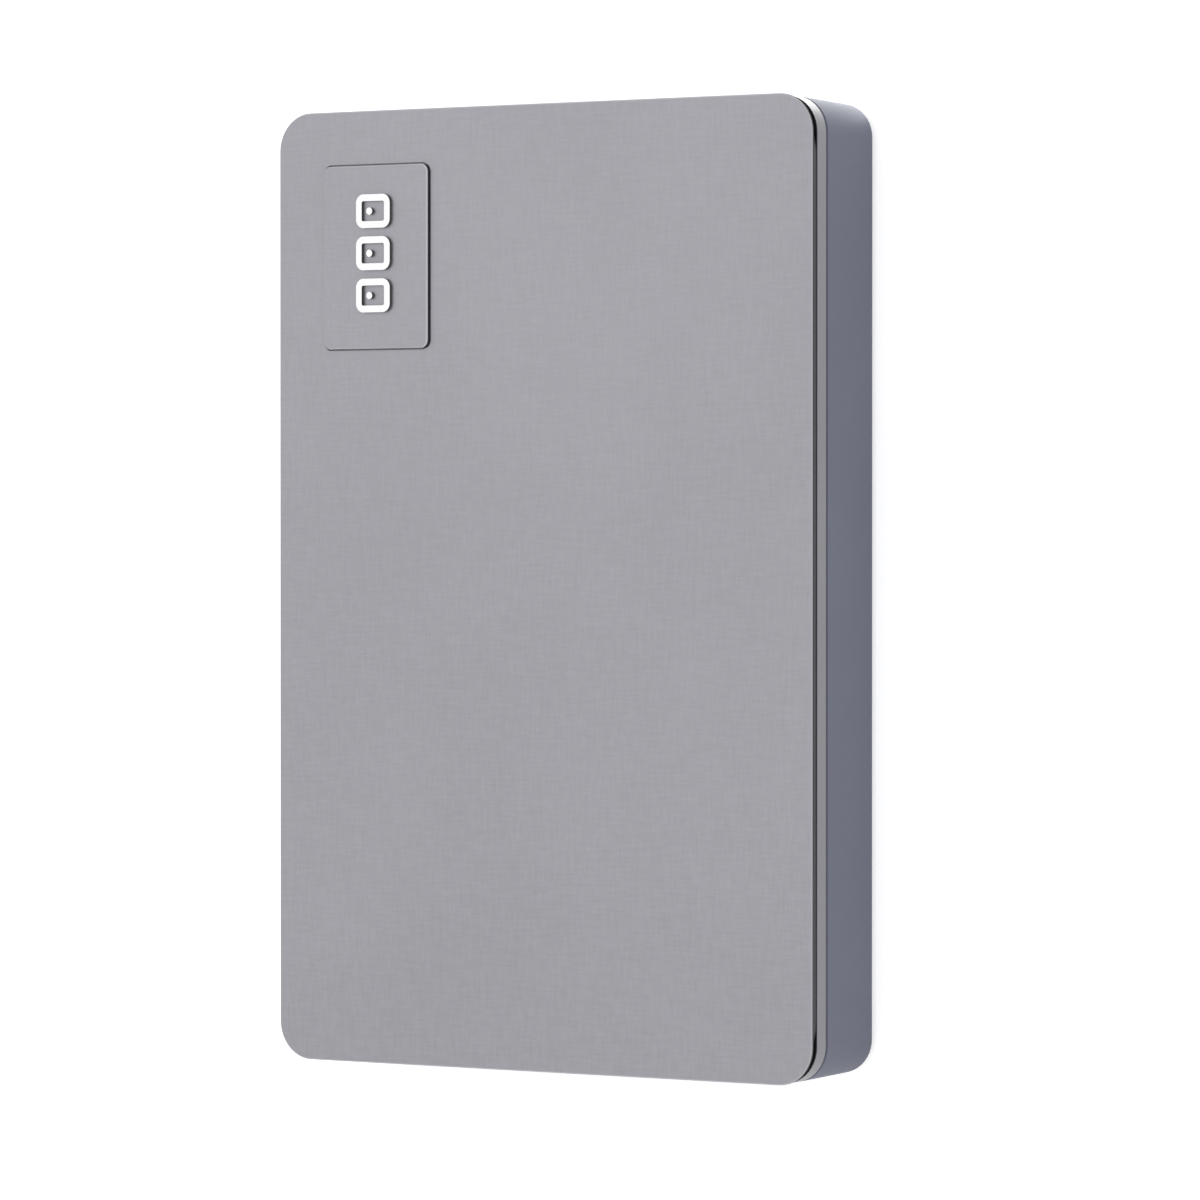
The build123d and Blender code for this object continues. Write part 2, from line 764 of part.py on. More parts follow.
# Drive base: casting with a disk bay, an arm bay, a motor well and a board pocket below.
bay_near_y = drive_near_y + near_wall
bay_far_y = spindle_y - shroud_radius / 2
bay_length = bay_far_y - bay_near_y
bay_mid_y = (bay_near_y + bay_far_y) / 2
pocket_width = board_width + 2 * board_gap
pocket_length = board_length + 2 * board_gap
notch_width = plug_width + 2 * plug_fit
notch_top = plug_mid_z + plug_height / 2 + plug_fit
with BuildPart() as drive_base:
    with BuildSketch(Plane.XY.offset(drive_z)):
        with Locations((0, drive_mid_y)):
            RectangleRounded(drive_width, drive_length, drive_corner)
    extrude(amount=base_rim_z - drive_z)
    with BuildSketch(Plane.XY.offset(base_floor_z)):
        with Locations((0, bay_mid_y)):
            RectangleRounded(bay_width, bay_length, bay_corner)
        with Locations((0, spindle_y)):
            Circle(shroud_radius)
    extrude(amount=base_rim_z - base_floor_z, mode=Mode.SUBTRACT)
    with BuildSketch(Plane.XY.offset(drive_z)):
        with Locations((0, drive_near_y + pocket_length / 2)):
            Rectangle(pocket_width, pocket_length)
        with Locations((0, spindle_y)):
            Circle(well_radius + well_wall, mode=Mode.SUBTRACT)
    extrude(amount=board_pocket, mode=Mode.SUBTRACT)
    with BuildSketch(Plane.XY.offset(drive_board_top)):
        with Locations(board_screw_spots):
            Circle(board_boss_radius)
    extrude(amount=drive_z + board_pocket - drive_board_top)
    with BuildSketch(Plane.XY.offset(drive_z)):
        with Locations((plug_x, drive_near_y)):
            Rectangle(notch_width, plug_depth + plug_fit, align=(Align.CENTER, Align.MIN))
    extrude(amount=notch_top - drive_z, mode=Mode.SUBTRACT)
    with BuildSketch(Plane.XY.offset(well_z)):
        with Locations((0, spindle_y)):
            Circle(well_radius)
    extrude(amount=base_floor_z - well_z, mode=Mode.SUBTRACT)
    with BuildSketch(Plane.XY.offset(base_rim_z)):
        with Locations(rim_screw_spots):
            Circle(cover_screw_radius)
    extrude(amount=-cover_screw_length, mode=Mode.SUBTRACT)
    with BuildSketch(Plane.XY.offset(drive_board_top)):
        with Locations(board_screw_spots):
            Circle(board_screw_radius)
    extrude(amount=board_screw_length, mode=Mode.SUBTRACT)
    for side in (Plane.YZ.offset(drive_width / 2), Plane.YZ.offset(-drive_width / 2)):
        with BuildSketch(side):
            with Locations(
                (drive_near_y + side_hole_near, drive_z + side_hole_lift),
                (drive_far_y - side_hole_far, drive_z + side_hole_lift),
            ):
                Circle(side_hole_radius)
        extrude(amount=side_hole_depth, both=True, mode=Mode.SUBTRACT)
drive_base.part.label = "drive_base"
export_step(drive_base.part, "parts/drive_base.step")

# Gasket on the rim of the base: a flat bead round both bays, inside the screws.
with BuildPart() as cover_gasket:
    with BuildSketch(Plane.XY.offset(base_rim_z)):
        with Locations((0, bay_mid_y)):
            RectangleRounded(
                bay_width + 2 * gasket_width,
                bay_length + 2 * gasket_width,
                bay_corner + gasket_width,
            )
        with Locations((0, spindle_y)):
            Circle(shroud_radius + gasket_width)
        with Locations((0, bay_mid_y)):
            RectangleRounded(bay_width, bay_length, bay_corner, mode=Mode.SUBTRACT)
        with Locations((0, spindle_y)):
            Circle(shroud_radius, mode=Mode.SUBTRACT)
    extrude(amount=gasket_thick)
cover_gasket.part.label = "cover_gasket"
export_step(cover_gasket.part, "parts/cover_gasket.step")

# Drive cover with a countersunk hole for each screw, and the flat-headed screws in them.
screw_top_z = drive_top_z - cover_screw_sink
screw_neck_z = cover_z + cover_screw_land
screw_tip_z = cover_z - cover_screw_length + cover_screw_tip_gap
screw_flare = (cover_screw_head - cover_screw_radius) / (screw_top_z - screw_neck_z)
screw_seat_radius = cover_screw_head + cover_screw_fit + cover_screw_sink * screw_flare
with BuildPart() as drive_cover:
    with BuildSketch(Plane.XY.offset(cover_z)):
        with Locations((0, drive_mid_y)):
            RectangleRounded(
                drive_width - 2 * cover_inset,
                drive_length - 2 * cover_inset,
                drive_corner - cover_inset,
            )
    extrude(amount=cover_thick)
    with Locations([(x, y, drive_top_z) for x, y in cover_screw_spots]):
        CounterSinkHole(
            cover_screw_radius + cover_screw_fit,
            screw_seat_radius,
            counter_sink_angle=2 * math.degrees(math.atan(screw_flare)),
        )
drive_cover.part.label = "drive_cover"
export_step(drive_cover.part, "parts/drive_cover.step")

with BuildPart() as cover_screws:
    with Locations([(x, y, screw_neck_z) for x, y in cover_screw_spots]):
        Cone(
            cover_screw_radius,
            cover_screw_head,
            screw_top_z - screw_neck_z,
            align=(Align.CENTER, Align.CENTER, Align.MIN),
        )
        Cylinder(
            cover_screw_radius,
            screw_neck_z - screw_tip_z,
            align=(Align.CENTER, Align.CENTER, Align.MAX),
        )
    with BuildSketch(Plane.XY.offset(screw_top_z)):
        with Locations(cover_screw_spots):
            RegularPolygon(cover_screw_key, 6)
    extrude(amount=-cover_screw_key_depth, mode=Mode.SUBTRACT)
cover_screws.part.label = "cover_screws"
export_step(cover_screws.part, "parts/cover_screws.step")

# Drive board with a round cut for the motor well, its chips and its screws.
with BuildPart() as drive_board:
    with BuildSketch(Plane.XY.offset(drive_board_z)):
        with Locations((0, board_mid_y)):
            Rectangle(board_width, board_length)
        with Locations((0, spindle_y)):
            Circle(well_radius + well_wall + board_gap, mode=Mode.SUBTRACT)
        with Locations((plug_x, drive_near_y)):
            Rectangle(
                notch_width,
                2 * (plug_depth + board_gap),
                mode=Mode.SUBTRACT,
            )
        with Locations(board_screw_spots):
            Circle(board_screw_radius + board_screw_fit, mode=Mode.SUBTRACT)
    extrude(amount=board_thick)
drive_board.part.label = "drive_board"
export_step(drive_board.part, "parts/drive_board.step")

chip_y = drive_near_y + board_gap + controller_share * board_length
with BuildPart() as drive_chips:
    with BuildSketch(Plane.XY.offset(drive_board_top)):
        with Locations((0, chip_y)):
            Rectangle(controller_size, controller_size)
        with Locations((-memory_beside, chip_y)):
            Rectangle(memory_width, memory_length)
        with Locations((driver_beside, chip_y)):
            Rectangle(driver_size, driver_size)
    extrude(amount=board_chip_height)
drive_chips.part.label = "drive_chips"
export_step(drive_chips.part, "parts/drive_chips.step")

with BuildPart() as board_screws:
    with BuildSketch(Plane.XY.offset(drive_board_z)):
        with Locations(board_screw_spots):
            Circle(board_screw_head)
    extrude(amount=-board_screw_cap)
    with BuildSketch(Plane.XY.offset(drive_board_z)):
        with Locations(board_screw_spots):
            Circle(board_screw_radius)
    extrude(amount=board_screw_length)
board_screws.part.label = "board_screws"
export_step(board_screws.part, "parts/board_screws.step")

# Spindle motor: fixed sleeve and slotted stator, turning magnet, shaft and hub.
with BuildPart() as motor_sleeve:
    with BuildSketch(Plane.XY.offset(well_z)):
        with Locations((0, spindle_y)):
            Circle(sleeve_radius + sleeve_step)
    extrude(amount=skirt_lift)
    with BuildSketch(Plane.XY.offset(well_z)):
        with Locations((0, spindle_y)):
            Circle(sleeve_radius)
    extrude(amount=hub_hollow_z - air_gap - well_z)
    with BuildSketch(Plane.XY.offset(well_z)):
        with Locations((0, spindle_y)):
            Circle(shaft_radius + shaft_gap)
    extrude(amount=hub_hollow_z - well_z, mode=Mode.SUBTRACT)
motor_sleeve.part.label = "motor_sleeve"
export_step(motor_sleeve.part, "parts/motor_sleeve.step")

with BuildPart() as motor_stator:
    with BuildSketch(Plane.XY.offset(skirt_z)):
        with Locations((0, spindle_y)):
            Circle(stator_radius)
            Circle(sleeve_radius, mode=Mode.SUBTRACT)
            with PolarLocations(slot_radius, stator_slots):
                Rectangle(slot_length, slot_width, mode=Mode.SUBTRACT)
    extrude(amount=stator_height)
motor_stator.part.label = "motor_stator"
export_step(motor_stator.part, "parts/motor_stator.step")

with BuildPart() as rotor_magnet:
    with BuildSketch(Plane.XY.offset(skirt_z)):
        with Locations((0, spindle_y)):
            Circle(rotor_radius)
            Circle(rotor_radius - rotor_thick, mode=Mode.SUBTRACT)
    extrude(amount=rotor_height)
rotor_magnet.part.label = "rotor_magnet"
export_step(rotor_magnet.part, "parts/rotor_magnet.step")

with BuildPart() as spindle_shaft:
    with BuildSketch(Plane.XY.offset(well_z + shaft_lift)):
        with Locations((0, spindle_y)):
            Circle(shaft_radius)
    extrude(amount=high_platter_top - well_z - shaft_lift)
spindle_shaft.part.label = "spindle_shaft"
export_step(spindle_shaft.part, "parts/spindle_shaft.step")

with BuildPart() as spindle_hub:
    with BuildSketch(Plane.XY.offset(skirt_z)):
        with Locations((0, spindle_y)):
            Circle(skirt_radius)
    extrude(amount=hub_z - skirt_z)
    with BuildSketch(Plane.XY.offset(hub_z)):
        with Locations((0, spindle_y)):
            Circle(flange_radius)
    extrude(amount=flange_thick)
    with BuildSketch(Plane.XY.offset(low_platter_z)):
        with Locations((0, spindle_y)):
            Circle(platter_bore)
    extrude(amount=high_platter_top - low_platter_z)
    with BuildSketch(Plane.XY.offset(skirt_z)):
        with Locations((0, spindle_y)):
            Circle(rotor_radius)
    extrude(amount=hub_hollow_z - skirt_z, mode=Mode.SUBTRACT)
    with BuildSketch(Plane.XY.offset(skirt_z)):
        with Locations((0, spindle_y)):
            Circle(shaft_radius)
    extrude(amount=high_platter_top - skirt_z, mode=Mode.SUBTRACT)
    with BuildSketch(Plane.XY.offset(high_platter_top)):
        with Locations((0, spindle_y)):
            with PolarLocations(clamp_screw_ring, clamp_screws_count):
                Circle(clamp_screw_radius)
    extrude(amount=-clamp_screw_length, mode=Mode.SUBTRACT)
spindle_hub.part.label = "spindle_hub"
export_step(spindle_hub.part, "parts/spindle_hub.step")

# Two disks with a spacer between them, held by a clamp and its screws.
with BuildPart() as lower_platter:
    with BuildSketch(Plane.XY.offset(low_platter_z)):
        with Locations((0, spindle_y)):
            Circle(platter_radius)
            Circle(platter_bore, mode=Mode.SUBTRACT)
    extrude(amount=platter_thick)
    chamfer(lower_platter.edges().filter_by(GeomType.CIRCLE).sort_by(SortBy.RADIUS)[-2:], platter_edge)
lower_platter.part.label = "lower_platter"
export_step(lower_platter.part, "parts/lower_platter.step")

with BuildPart() as platter_spacer:
    with BuildSketch(Plane.XY.offset(low_platter_top)):
        with Locations((0, spindle_y)):
            Circle(flange_radius)
            Circle(platter_bore, mode=Mode.SUBTRACT)
    extrude(amount=platter_gap)
platter_spacer.part.label = "platter_spacer"
export_step(platter_spacer.part, "parts/platter_spacer.step")

with BuildPart() as upper_platter:
    with BuildSketch(Plane.XY.offset(high_platter_z)):
        with Locations((0, spindle_y)):
            Circle(platter_radius)
            Circle(platter_bore, mode=Mode.SUBTRACT)
    extrude(amount=platter_thick)
    chamfer(upper_platter.edges().filter_by(GeomType.CIRCLE).sort_by(SortBy.RADIUS)[-2:], platter_edge)
upper_platter.part.label = "upper_platter"
export_step(upper_platter.part, "parts/upper_platter.step")

with BuildPart() as disk_clamp:
    with BuildSketch(Plane.XY.offset(high_platter_top)):
        with Locations((0, spindle_y)):
            Circle(flange_radius)
            Circle(clamp_hole, mode=Mode.SUBTRACT)
            with PolarLocations(clamp_screw_ring, clamp_screws_count):
                Circle(clamp_screw_radius, mode=Mode.SUBTRACT)
    extrude(amount=clamp_thick)
disk_clamp.part.label = "disk_clamp"
export_step(disk_clamp.part, "parts/disk_clamp.step")

with BuildPart() as clamp_screws:
    with BuildSketch(Plane.XY.offset(clamp_top)):
        with Locations((0, spindle_y)):
            with PolarLocations(clamp_screw_ring, clamp_screws_count):
                Circle(clamp_screw_head)
    extrude(amount=clamp_screw_cap)
    with BuildSketch(Plane.XY.offset(clamp_top)):
        with Locations((0, spindle_y)):
            with PolarLocations(clamp_screw_ring, clamp_screws_count):
                Circle(clamp_screw_radius)
    extrude(amount=-clamp_screw_length - clamp_thick)
clamp_screws.part.label = "clamp_screws"
export_step(clamp_screws.part, "parts/clamp_screws.step")

# Head arm: hub, three tapered arms with lightening slots, and a fork round the coil.
coil_half = math.radians(coil_half_deg)
coil_hole_half = math.radians(coil_hole_half_deg)
fork_half = math.radians(fork_half_deg)
fork_wedge = (-wedge_reach * math.cos(fork_half), wedge_reach * math.sin(fork_half))
coil_wedge = (-wedge_reach * math.cos(coil_half), wedge_reach * math.sin(coil_half))
hole_wedge = (-wedge_reach * math.cos(coil_hole_half), wedge_reach * math.sin(coil_hole_half))
with BuildPart() as arm_block:
    with BuildSketch(arm_plane.offset(low_arm_z)):
        Circle(arm_hub_radius)
    extrude(amount=arm_hub_height)
    for level, thick in (
        (low_arm_z, arm_thick),
        (mid_arm_z, mid_arm_thick),
        (top_arm_z, arm_thick),
    ):
        with BuildSketch(arm_plane.offset(level)):
            Polygon(
                (0, -arm_root / 2),
                (arm_end, -arm_tip / 2),
                (arm_end, arm_tip / 2),
                (0, arm_root / 2),
                align=None,
            )
            with Locations((arm_slot_place, 0)):
                SlotOverall(arm_slot_length, arm_slot_width, mode=Mode.SUBTRACT)
        extrude(amount=thick)
    with BuildSketch(arm_plane.offset(coil_z)):
        Circle(fork_radius)
        Polygon((0, 0), fork_wedge, (fork_wedge[0], -fork_wedge[1]), align=None, mode=Mode.INTERSECT)
    extrude(amount=coil_thick)
    with BuildSketch(arm_plane.offset(coil_z)):
        Circle(coil_outer)
        Circle(coil_inner, mode=Mode.SUBTRACT)
        Polygon((0, 0), coil_wedge, (coil_wedge[0], -coil_wedge[1]), align=None, mode=Mode.INTERSECT)
    extrude(amount=coil_thick, mode=Mode.SUBTRACT)
    with BuildSketch(arm_plane.offset(low_arm_z)):
        Circle(bearing_radius)
    extrude(amount=arm_hub_height, mode=Mode.SUBTRACT)
arm_block.part.label = "arm_block"
export_step(arm_block.part, "parts/arm_block.step")

with BuildPart() as voice_coil:
    with BuildSketch(arm_plane.offset(coil_z)):
        Circle(coil_outer)
        Circle(coil_inner, mode=Mode.SUBTRACT)
        Polygon((0, 0), coil_wedge, (coil_wedge[0], -coil_wedge[1]), align=None, mode=Mode.INTERSECT)
    extrude(amount=coil_thick)
    with BuildSketch(arm_plane.offset(coil_z)):
        Circle(coil_outer - coil_band)
        Circle(coil_inner + coil_band, mode=Mode.SUBTRACT)
        Polygon((0, 0), hole_wedge, (hole_wedge[0], -hole_wedge[1]), align=None, mode=Mode.INTERSECT)
    extrude(amount=coil_thick, mode=Mode.SUBTRACT)
voice_coil.part.label = "voice_coil"
export_step(voice_coil.part, "parts/voice_coil.step")

with BuildPart() as arm_bearing:
    with BuildSketch(arm_plane.offset(low_arm_z)):
        Circle(bearing_radius)
        Circle(post_radius + post_gap, mode=Mode.SUBTRACT)
    extrude(amount=arm_hub_height)
arm_bearing.part.label = "arm_bearing"
export_step(arm_bearing.part, "parts/arm_bearing.step")

# Head springs: four thin leaves, each ending in a narrow tab that parks on the ramp.
with BuildPart() as head_springs:
    for level in spring_levels:
        with BuildSketch(arm_plane.offset(level)):
            Polygon(
                (spring_start, -spring_root / 2),
                (spring_end, -spring_tip / 2),
                (spring_end, spring_tip / 2),
                (spring_start, spring_root / 2),
                align=None,
            )
            with Locations((spring_end, 0)):
                Rectangle(tab_length, tab_width, align=(Align.MIN, Align.CENTER))
        extrude(amount=spring_thick)
head_springs.part.label = "head_springs"
export_step(head_springs.part, "parts/head_springs.step")

with BuildPart() as head_sliders:
    for level in slider_levels:
        with BuildSketch(arm_plane.offset(level)):
            with Locations((arm_reach, 0)):
                Rectangle(slider_length, slider_width)
        extrude(amount=slider_thick)
head_sliders.part.label = "head_sliders"
export_step(head_sliders.part, "parts/head_sliders.step")

# Fixed post that the arm's bearing turns on, clamped by the cover's middle screw.
with BuildPart() as pivot_post:
    with BuildSketch(arm_plane.offset(base_floor_z)):
        Circle(post_radius)
    extrude(amount=cover_z - base_floor_z)
    with BuildSketch(arm_plane.offset(cover_z)):
        Circle(cover_screw_radius)
    extrude(amount=-cover_screw_length, mode=Mode.SUBTRACT)
pivot_post.part.label = "pivot_post"
export_step(pivot_post.part, "parts/pivot_post.step")

# Magnet circuit: a yoke plate below and above the coil, each with a magnet, and two posts.
yoke_half = math.radians(yoke_half_deg)
magnet_half = math.radians(magnet_half_deg)
yoke_wedge = (wedge_reach * math.cos(yoke_half), wedge_reach * math.sin(yoke_half))
magnet_wedge = (wedge_reach * math.cos(magnet_half), wedge_reach * math.sin(magnet_half))
with BuildPart() as lower_yoke:
    with BuildSketch(yoke_plane.offset(base_floor_z)):
        Circle(yoke_outer)
        Circle(yoke_inner, mode=Mode.SUBTRACT)
        Polygon((0, 0), (yoke_wedge[0], -yoke_wedge[1]), yoke_wedge, align=None, mode=Mode.INTERSECT)
    extrude(amount=yoke_thick)
lower_yoke.part.label = "lower_yoke"
export_step(lower_yoke.part, "parts/lower_yoke.step")

with BuildPart() as upper_yoke:
    with BuildSketch(yoke_plane.offset(high_yoke_z)):
        Circle(yoke_outer)
        Circle(yoke_inner, mode=Mode.SUBTRACT)
        Polygon((0, 0), (yoke_wedge[0], -yoke_wedge[1]), yoke_wedge, align=None, mode=Mode.INTERSECT)
    extrude(amount=yoke_thick)
upper_yoke.part.label = "upper_yoke"
export_step(upper_yoke.part, "parts/upper_yoke.step")

with BuildPart() as yoke_magnets:
    for level in (low_magnet_z, high_magnet_z):
        with BuildSketch(yoke_plane.offset(level)):
            Circle(magnet_outer)
            Circle(magnet_inner, mode=Mode.SUBTRACT)
            Polygon(
                (0, 0),
                (magnet_wedge[0], -magnet_wedge[1]),
                magnet_wedge,
                align=None,
                mode=Mode.INTERSECT,
            )
        extrude(amount=magnet_thick)
yoke_magnets.part.label = "yoke_magnets"
export_step(yoke_magnets.part, "parts/yoke_magnets.step")

with BuildPart() as yoke_posts:
    with BuildSketch(yoke_plane.offset(low_magnet_z)):
        with Locations((yoke_post_x, yoke_post_y), (yoke_post_x, -yoke_post_y)):
            Circle(yoke_post_radius)
    extrude(amount=high_yoke_z - low_magnet_z)
yoke_posts.part.label = "yoke_posts"
export_step(yoke_posts.part, "parts/yoke_posts.step")

# Park ramp: a post beside the disks with a fin between each pair of head tabs.
ramp_fin_x = spring_end + ramp_fin_start
ramp_post_x = tab_end + ramp_post_start
ramp_fin_length = ramp_post_x - ramp_fin_x + ramp_post_start
low_fin_z = spring_1_z + spring_thick + ramp_gap
low_fin_thick = spring_2_z - ramp_gap - low_fin_z
high_fin_z = spring_3_z + spring_thick + ramp_gap
high_fin_thick = spring_4_z - ramp_gap - high_fin_z
with BuildPart() as park_ramp:
    with BuildSketch(arm_plane.offset(base_floor_z)):
        with Locations((ramp_post_x, ramp_post_shift)):
            Rectangle(ramp_post_length, ramp_post_width, align=(Align.MIN, Align.CENTER))
    extrude(amount=high_fin_z + high_fin_thick - base_floor_z)
    for level, thick in ((low_fin_z, low_fin_thick), (high_fin_z, high_fin_thick)):
        with BuildSketch(arm_plane.offset(level)):
            with Locations((ramp_fin_x, ramp_fin_shift)):
                Rectangle(ramp_fin_length, ramp_fin_width, align=(Align.MIN, Align.CENTER))
        extrude(amount=thick)
park_ramp.part.label = "park_ramp"
export_step(park_ramp.part, "parts/park_ramp.step")

# Air filter in the corner of the arm bay.
filter_x = bay_width / 2 - filter_wall_gap - filter_thick / 2
filter_y = bay_far_y - filter_end_gap - filter_length / 2
with BuildPart() as air_filter:
    with BuildSketch(Plane.XY.offset(base_floor_z)):
        with Locations((filter_x, filter_y)):
            Rectangle(filter_thick, filter_length)
    extrude(amount=filter_height)
air_filter.part.label = "air_filter"
export_step(air_filter.part, "parts/air_filter.step")

# Flexible circuit: a bracket on the base and a thin standing ribbon that curves to the arm's hub.
bracket_x = pivot_x - bracket_beside_pivot
bracket_y = pivot_y - bracket_below_pivot
with BuildPart() as flex_bracket:
    with BuildSketch(Plane.XY.offset(base_floor_z)):
        with Locations((bracket_x, bracket_y)):
            Rectangle(bracket_width, bracket_length)
    extrude(amount=bracket_height)
flex_bracket.part.label = "flex_bracket"
export_step(flex_bracket.part, "parts/flex_bracket.step")

ribbon_turn = math.radians(ribbon_turn_deg)
ribbon_ring = arm_hub_radius + ribbon_hub_gap
ribbon_start = (bracket_x + bracket_width / 2, bracket_y)
ribbon_finish = (
    pivot_x + ribbon_ring * math.cos(ribbon_turn),
    pivot_y + ribbon_ring * math.sin(ribbon_turn),
)
with BuildPart() as flex_ribbon:
    with BuildSketch(Plane.XY.offset(base_floor_z + ribbon_lift)):
        with BuildLine():
            TangentArc(ribbon_start, ribbon_finish, tangent=(1, 0))
        trace(line_width=ribbon_thick)
    extrude(amount=ribbon_height)
flex_ribbon.part.label = "flex_ribbon"
export_step(flex_ribbon.part, "parts/flex_ribbon.step")
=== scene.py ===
# %% [markdown]
# # A portable hard drive in satin grey metal
# The drive lies flat on its four feet, and the camera looks down on its face. Its solids
# arrive as a fixed frame, already at their real size and place, in metres, and nothing here
# moves or reshapes them. This lesson gives every piece its finish, then lights and frames the
# whole. Pictures could be wrapped round the pieces, but finishes that are worked out from a
# piece's own coordinates keep their true scale on every piece and need no files at all.

# %% Load the frame
import math

import bpy
from mathutils import Matrix, Vector


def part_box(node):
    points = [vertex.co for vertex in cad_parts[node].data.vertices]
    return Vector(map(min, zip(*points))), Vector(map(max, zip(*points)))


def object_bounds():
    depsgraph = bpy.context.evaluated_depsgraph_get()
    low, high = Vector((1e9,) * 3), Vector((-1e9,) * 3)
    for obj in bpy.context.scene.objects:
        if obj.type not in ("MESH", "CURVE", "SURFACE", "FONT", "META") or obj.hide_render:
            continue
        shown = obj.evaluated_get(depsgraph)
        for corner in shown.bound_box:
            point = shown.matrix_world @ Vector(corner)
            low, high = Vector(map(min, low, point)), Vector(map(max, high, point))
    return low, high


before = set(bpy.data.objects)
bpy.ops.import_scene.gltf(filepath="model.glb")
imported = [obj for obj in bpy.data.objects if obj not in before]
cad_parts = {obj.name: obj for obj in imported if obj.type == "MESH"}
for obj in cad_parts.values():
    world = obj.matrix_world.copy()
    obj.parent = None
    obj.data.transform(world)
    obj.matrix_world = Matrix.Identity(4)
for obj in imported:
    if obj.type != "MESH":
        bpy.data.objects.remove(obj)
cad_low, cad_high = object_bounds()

MM = 0.001
print("pieces in the frame:", len(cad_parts))
print("size in mm:", [round(side / MM, 2) for side in cad_high - cad_low])

# %% [markdown]
# ## Small tools for finishes
# A finish is a tree of shader nodes. The same few moves come back in every tree: make a node,
# let the colour or the roughness follow a grain, and press that grain into the surface as bump.
# Each move gets one short function here, so that a finish further down reads like a recipe.
# Colours are given as linear light, which is what the shader adds up, not as screen values.

# %% Nodes, sockets and dressing
def add_node(tree, kind, sockets=None, **settings):
    """A new node with its settings, and with input sockets set by name."""
    node = tree.nodes.new(kind)
    for key, value in settings.items():
        setattr(node, key, value)
    for key, value in (sockets or {}).items():
        node.inputs[key].default_value = value
    return node


def new_finish(name, shader_values):
    """A node material, its tree, and its Principled shader with the plain values set on it."""
    finish = bpy.data.materials.new(name)
    finish.use_nodes = True
    shader = finish.node_tree.nodes["Principled BSDF"]
    for key, value in shader_values.items():
        shader.inputs[key].default_value = value
    return finish, finish.node_tree, shader


def dress(finish, *names):
    """Puts a finish in the material slots of some of the frame's nodes."""
    for name in names:
        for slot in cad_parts[name].material_slots:
            slot.material = finish
    print(finish.name, "is on", ", ".join(names))


print("tools for nodes are ready")


# %% Colours and values that follow a grain
def colour_along(tree, grain, low_colour, high_colour):
    """A colour that goes from one tone to the other as the grain goes from 0 to 1."""
    ramp = add_node(tree, "ShaderNodeValToRGB")
    ramp.color_ramp.elements[0].color = (*low_colour, 1.0)
    ramp.color_ramp.elements[1].color = (*high_colour, 1.0)
    tree.links.new(grain, ramp.inputs["Fac"])
    return ramp.outputs["Color"]


def shaded(colour, share):
    """The same colour, lighter or darker by a share."""
    return tuple(channel * (1.0 + share) for channel in colour)


def tone_along(tree, grain, colour, darker, lighter):
    """One colour, darker by a share where the grain is 0 and lighter by a share where it is 1."""
    return colour_along(tree, grain, shaded(colour, -darker), shaded(colour, lighter))


def value_along(tree, grain, low, high):
    """A value that goes from low to high as the grain goes from 0 to 1."""
    span = add_node(tree, "ShaderNodeMapRange", {"To Min": low, "To Max": high})
    tree.links.new(grain, span.inputs["Value"])
    return span.outputs["Result"]


def weigh(tree, first, second, share):
    """One grain out of two: a share of the first, and the rest of the second."""
    mix = add_node(tree, "ShaderNodeMix", data_type="FLOAT")
    mix.inputs[0].default_value = share
    tree.links.new(second, mix.inputs[2])
    tree.links.new(first, mix.inputs[3])
    return mix.outputs[0]


print("tools for grain are ready")


# %% Place, colour, roughness and bump
def place_in_mm(tree):
    """Where a point lies on its own piece, in millimetres, so a grain moves with the piece."""
    place = add_node(tree, "ShaderNodeTexCoord")
    scaled = add_node(tree, "ShaderNodeVectorMath", {"Scale": 1.0 / MM}, operation="SCALE")
    tree.links.new(place.outputs["Object"], scaled.inputs["Vector"])
    return scaled.outputs["Vector"]


def paint(tree, shader, colour):
    """Gives the surface its colour."""
    tree.links.new(colour, shader.inputs["Base Color"])


def roughen(tree, shader, grain, low, high):
    """Lets the roughness go from low to high as the grain goes from 0 to 1."""
    tree.links.new(value_along(tree, grain, low, high), shader.inputs["Roughness"])


def press(tree, shader, grain, depth_mm):
    """Presses a grain into the surface as bump, to its real depth."""
    bump = add_node(tree, "ShaderNodeBump", {"Distance": depth_mm * MM})
    tree.links.new(grain, bump.inputs["Height"])
    tree.links.new(bump.outputs["Normal"], shader.inputs["Normal"])


print("tools for surfaces are ready")

# %% [markdown]
# ## Effects that several finishes share
# Most surfaces differ only in the scale of a few effects: a slow drift in tone, the fine skin
# that a mould leaves, the crossed scratches of a brushed sheet and the rings of a turned piece.
# Each could be copied into every finish, but a node group is built once and placed in each
# finish with its own values. The three groups that follow take a place in millimetres and give
# back one grain that runs from 0 to 1, and the finish decides what the grain does.

# %% Node groups with named sockets
NOISE_LOW = 0.3
NOISE_HIGH = 0.7


def new_group(name, values):
    """An empty group that takes a place and some values, and gives back a grain."""
    group = bpy.data.node_groups.new(name, "ShaderNodeTree")
    group.interface.new_socket("Place", in_out="INPUT", socket_type="NodeSocketVector")
    for label, default in values.items():
        socket = group.interface.new_socket(label, in_out="INPUT", socket_type="NodeSocketFloat")
        socket.default_value = default
    group.interface.new_socket("Grain", in_out="OUTPUT", socket_type="NodeSocketFloat")
    return group, group.nodes.new("NodeGroupInput"), group.nodes.new("NodeGroupOutput")


def math_node(tree, operation, first, second):
    """One step of arithmetic on two sockets, or on a socket and a number."""
    node = add_node(tree, "ShaderNodeMath", operation=operation)
    for slot, value in enumerate((first, second)):
        if isinstance(value, (int, float)):
            node.inputs[slot].default_value = value
        else:
            tree.links.new(value, node.inputs[slot])
    return node.outputs["Value"]


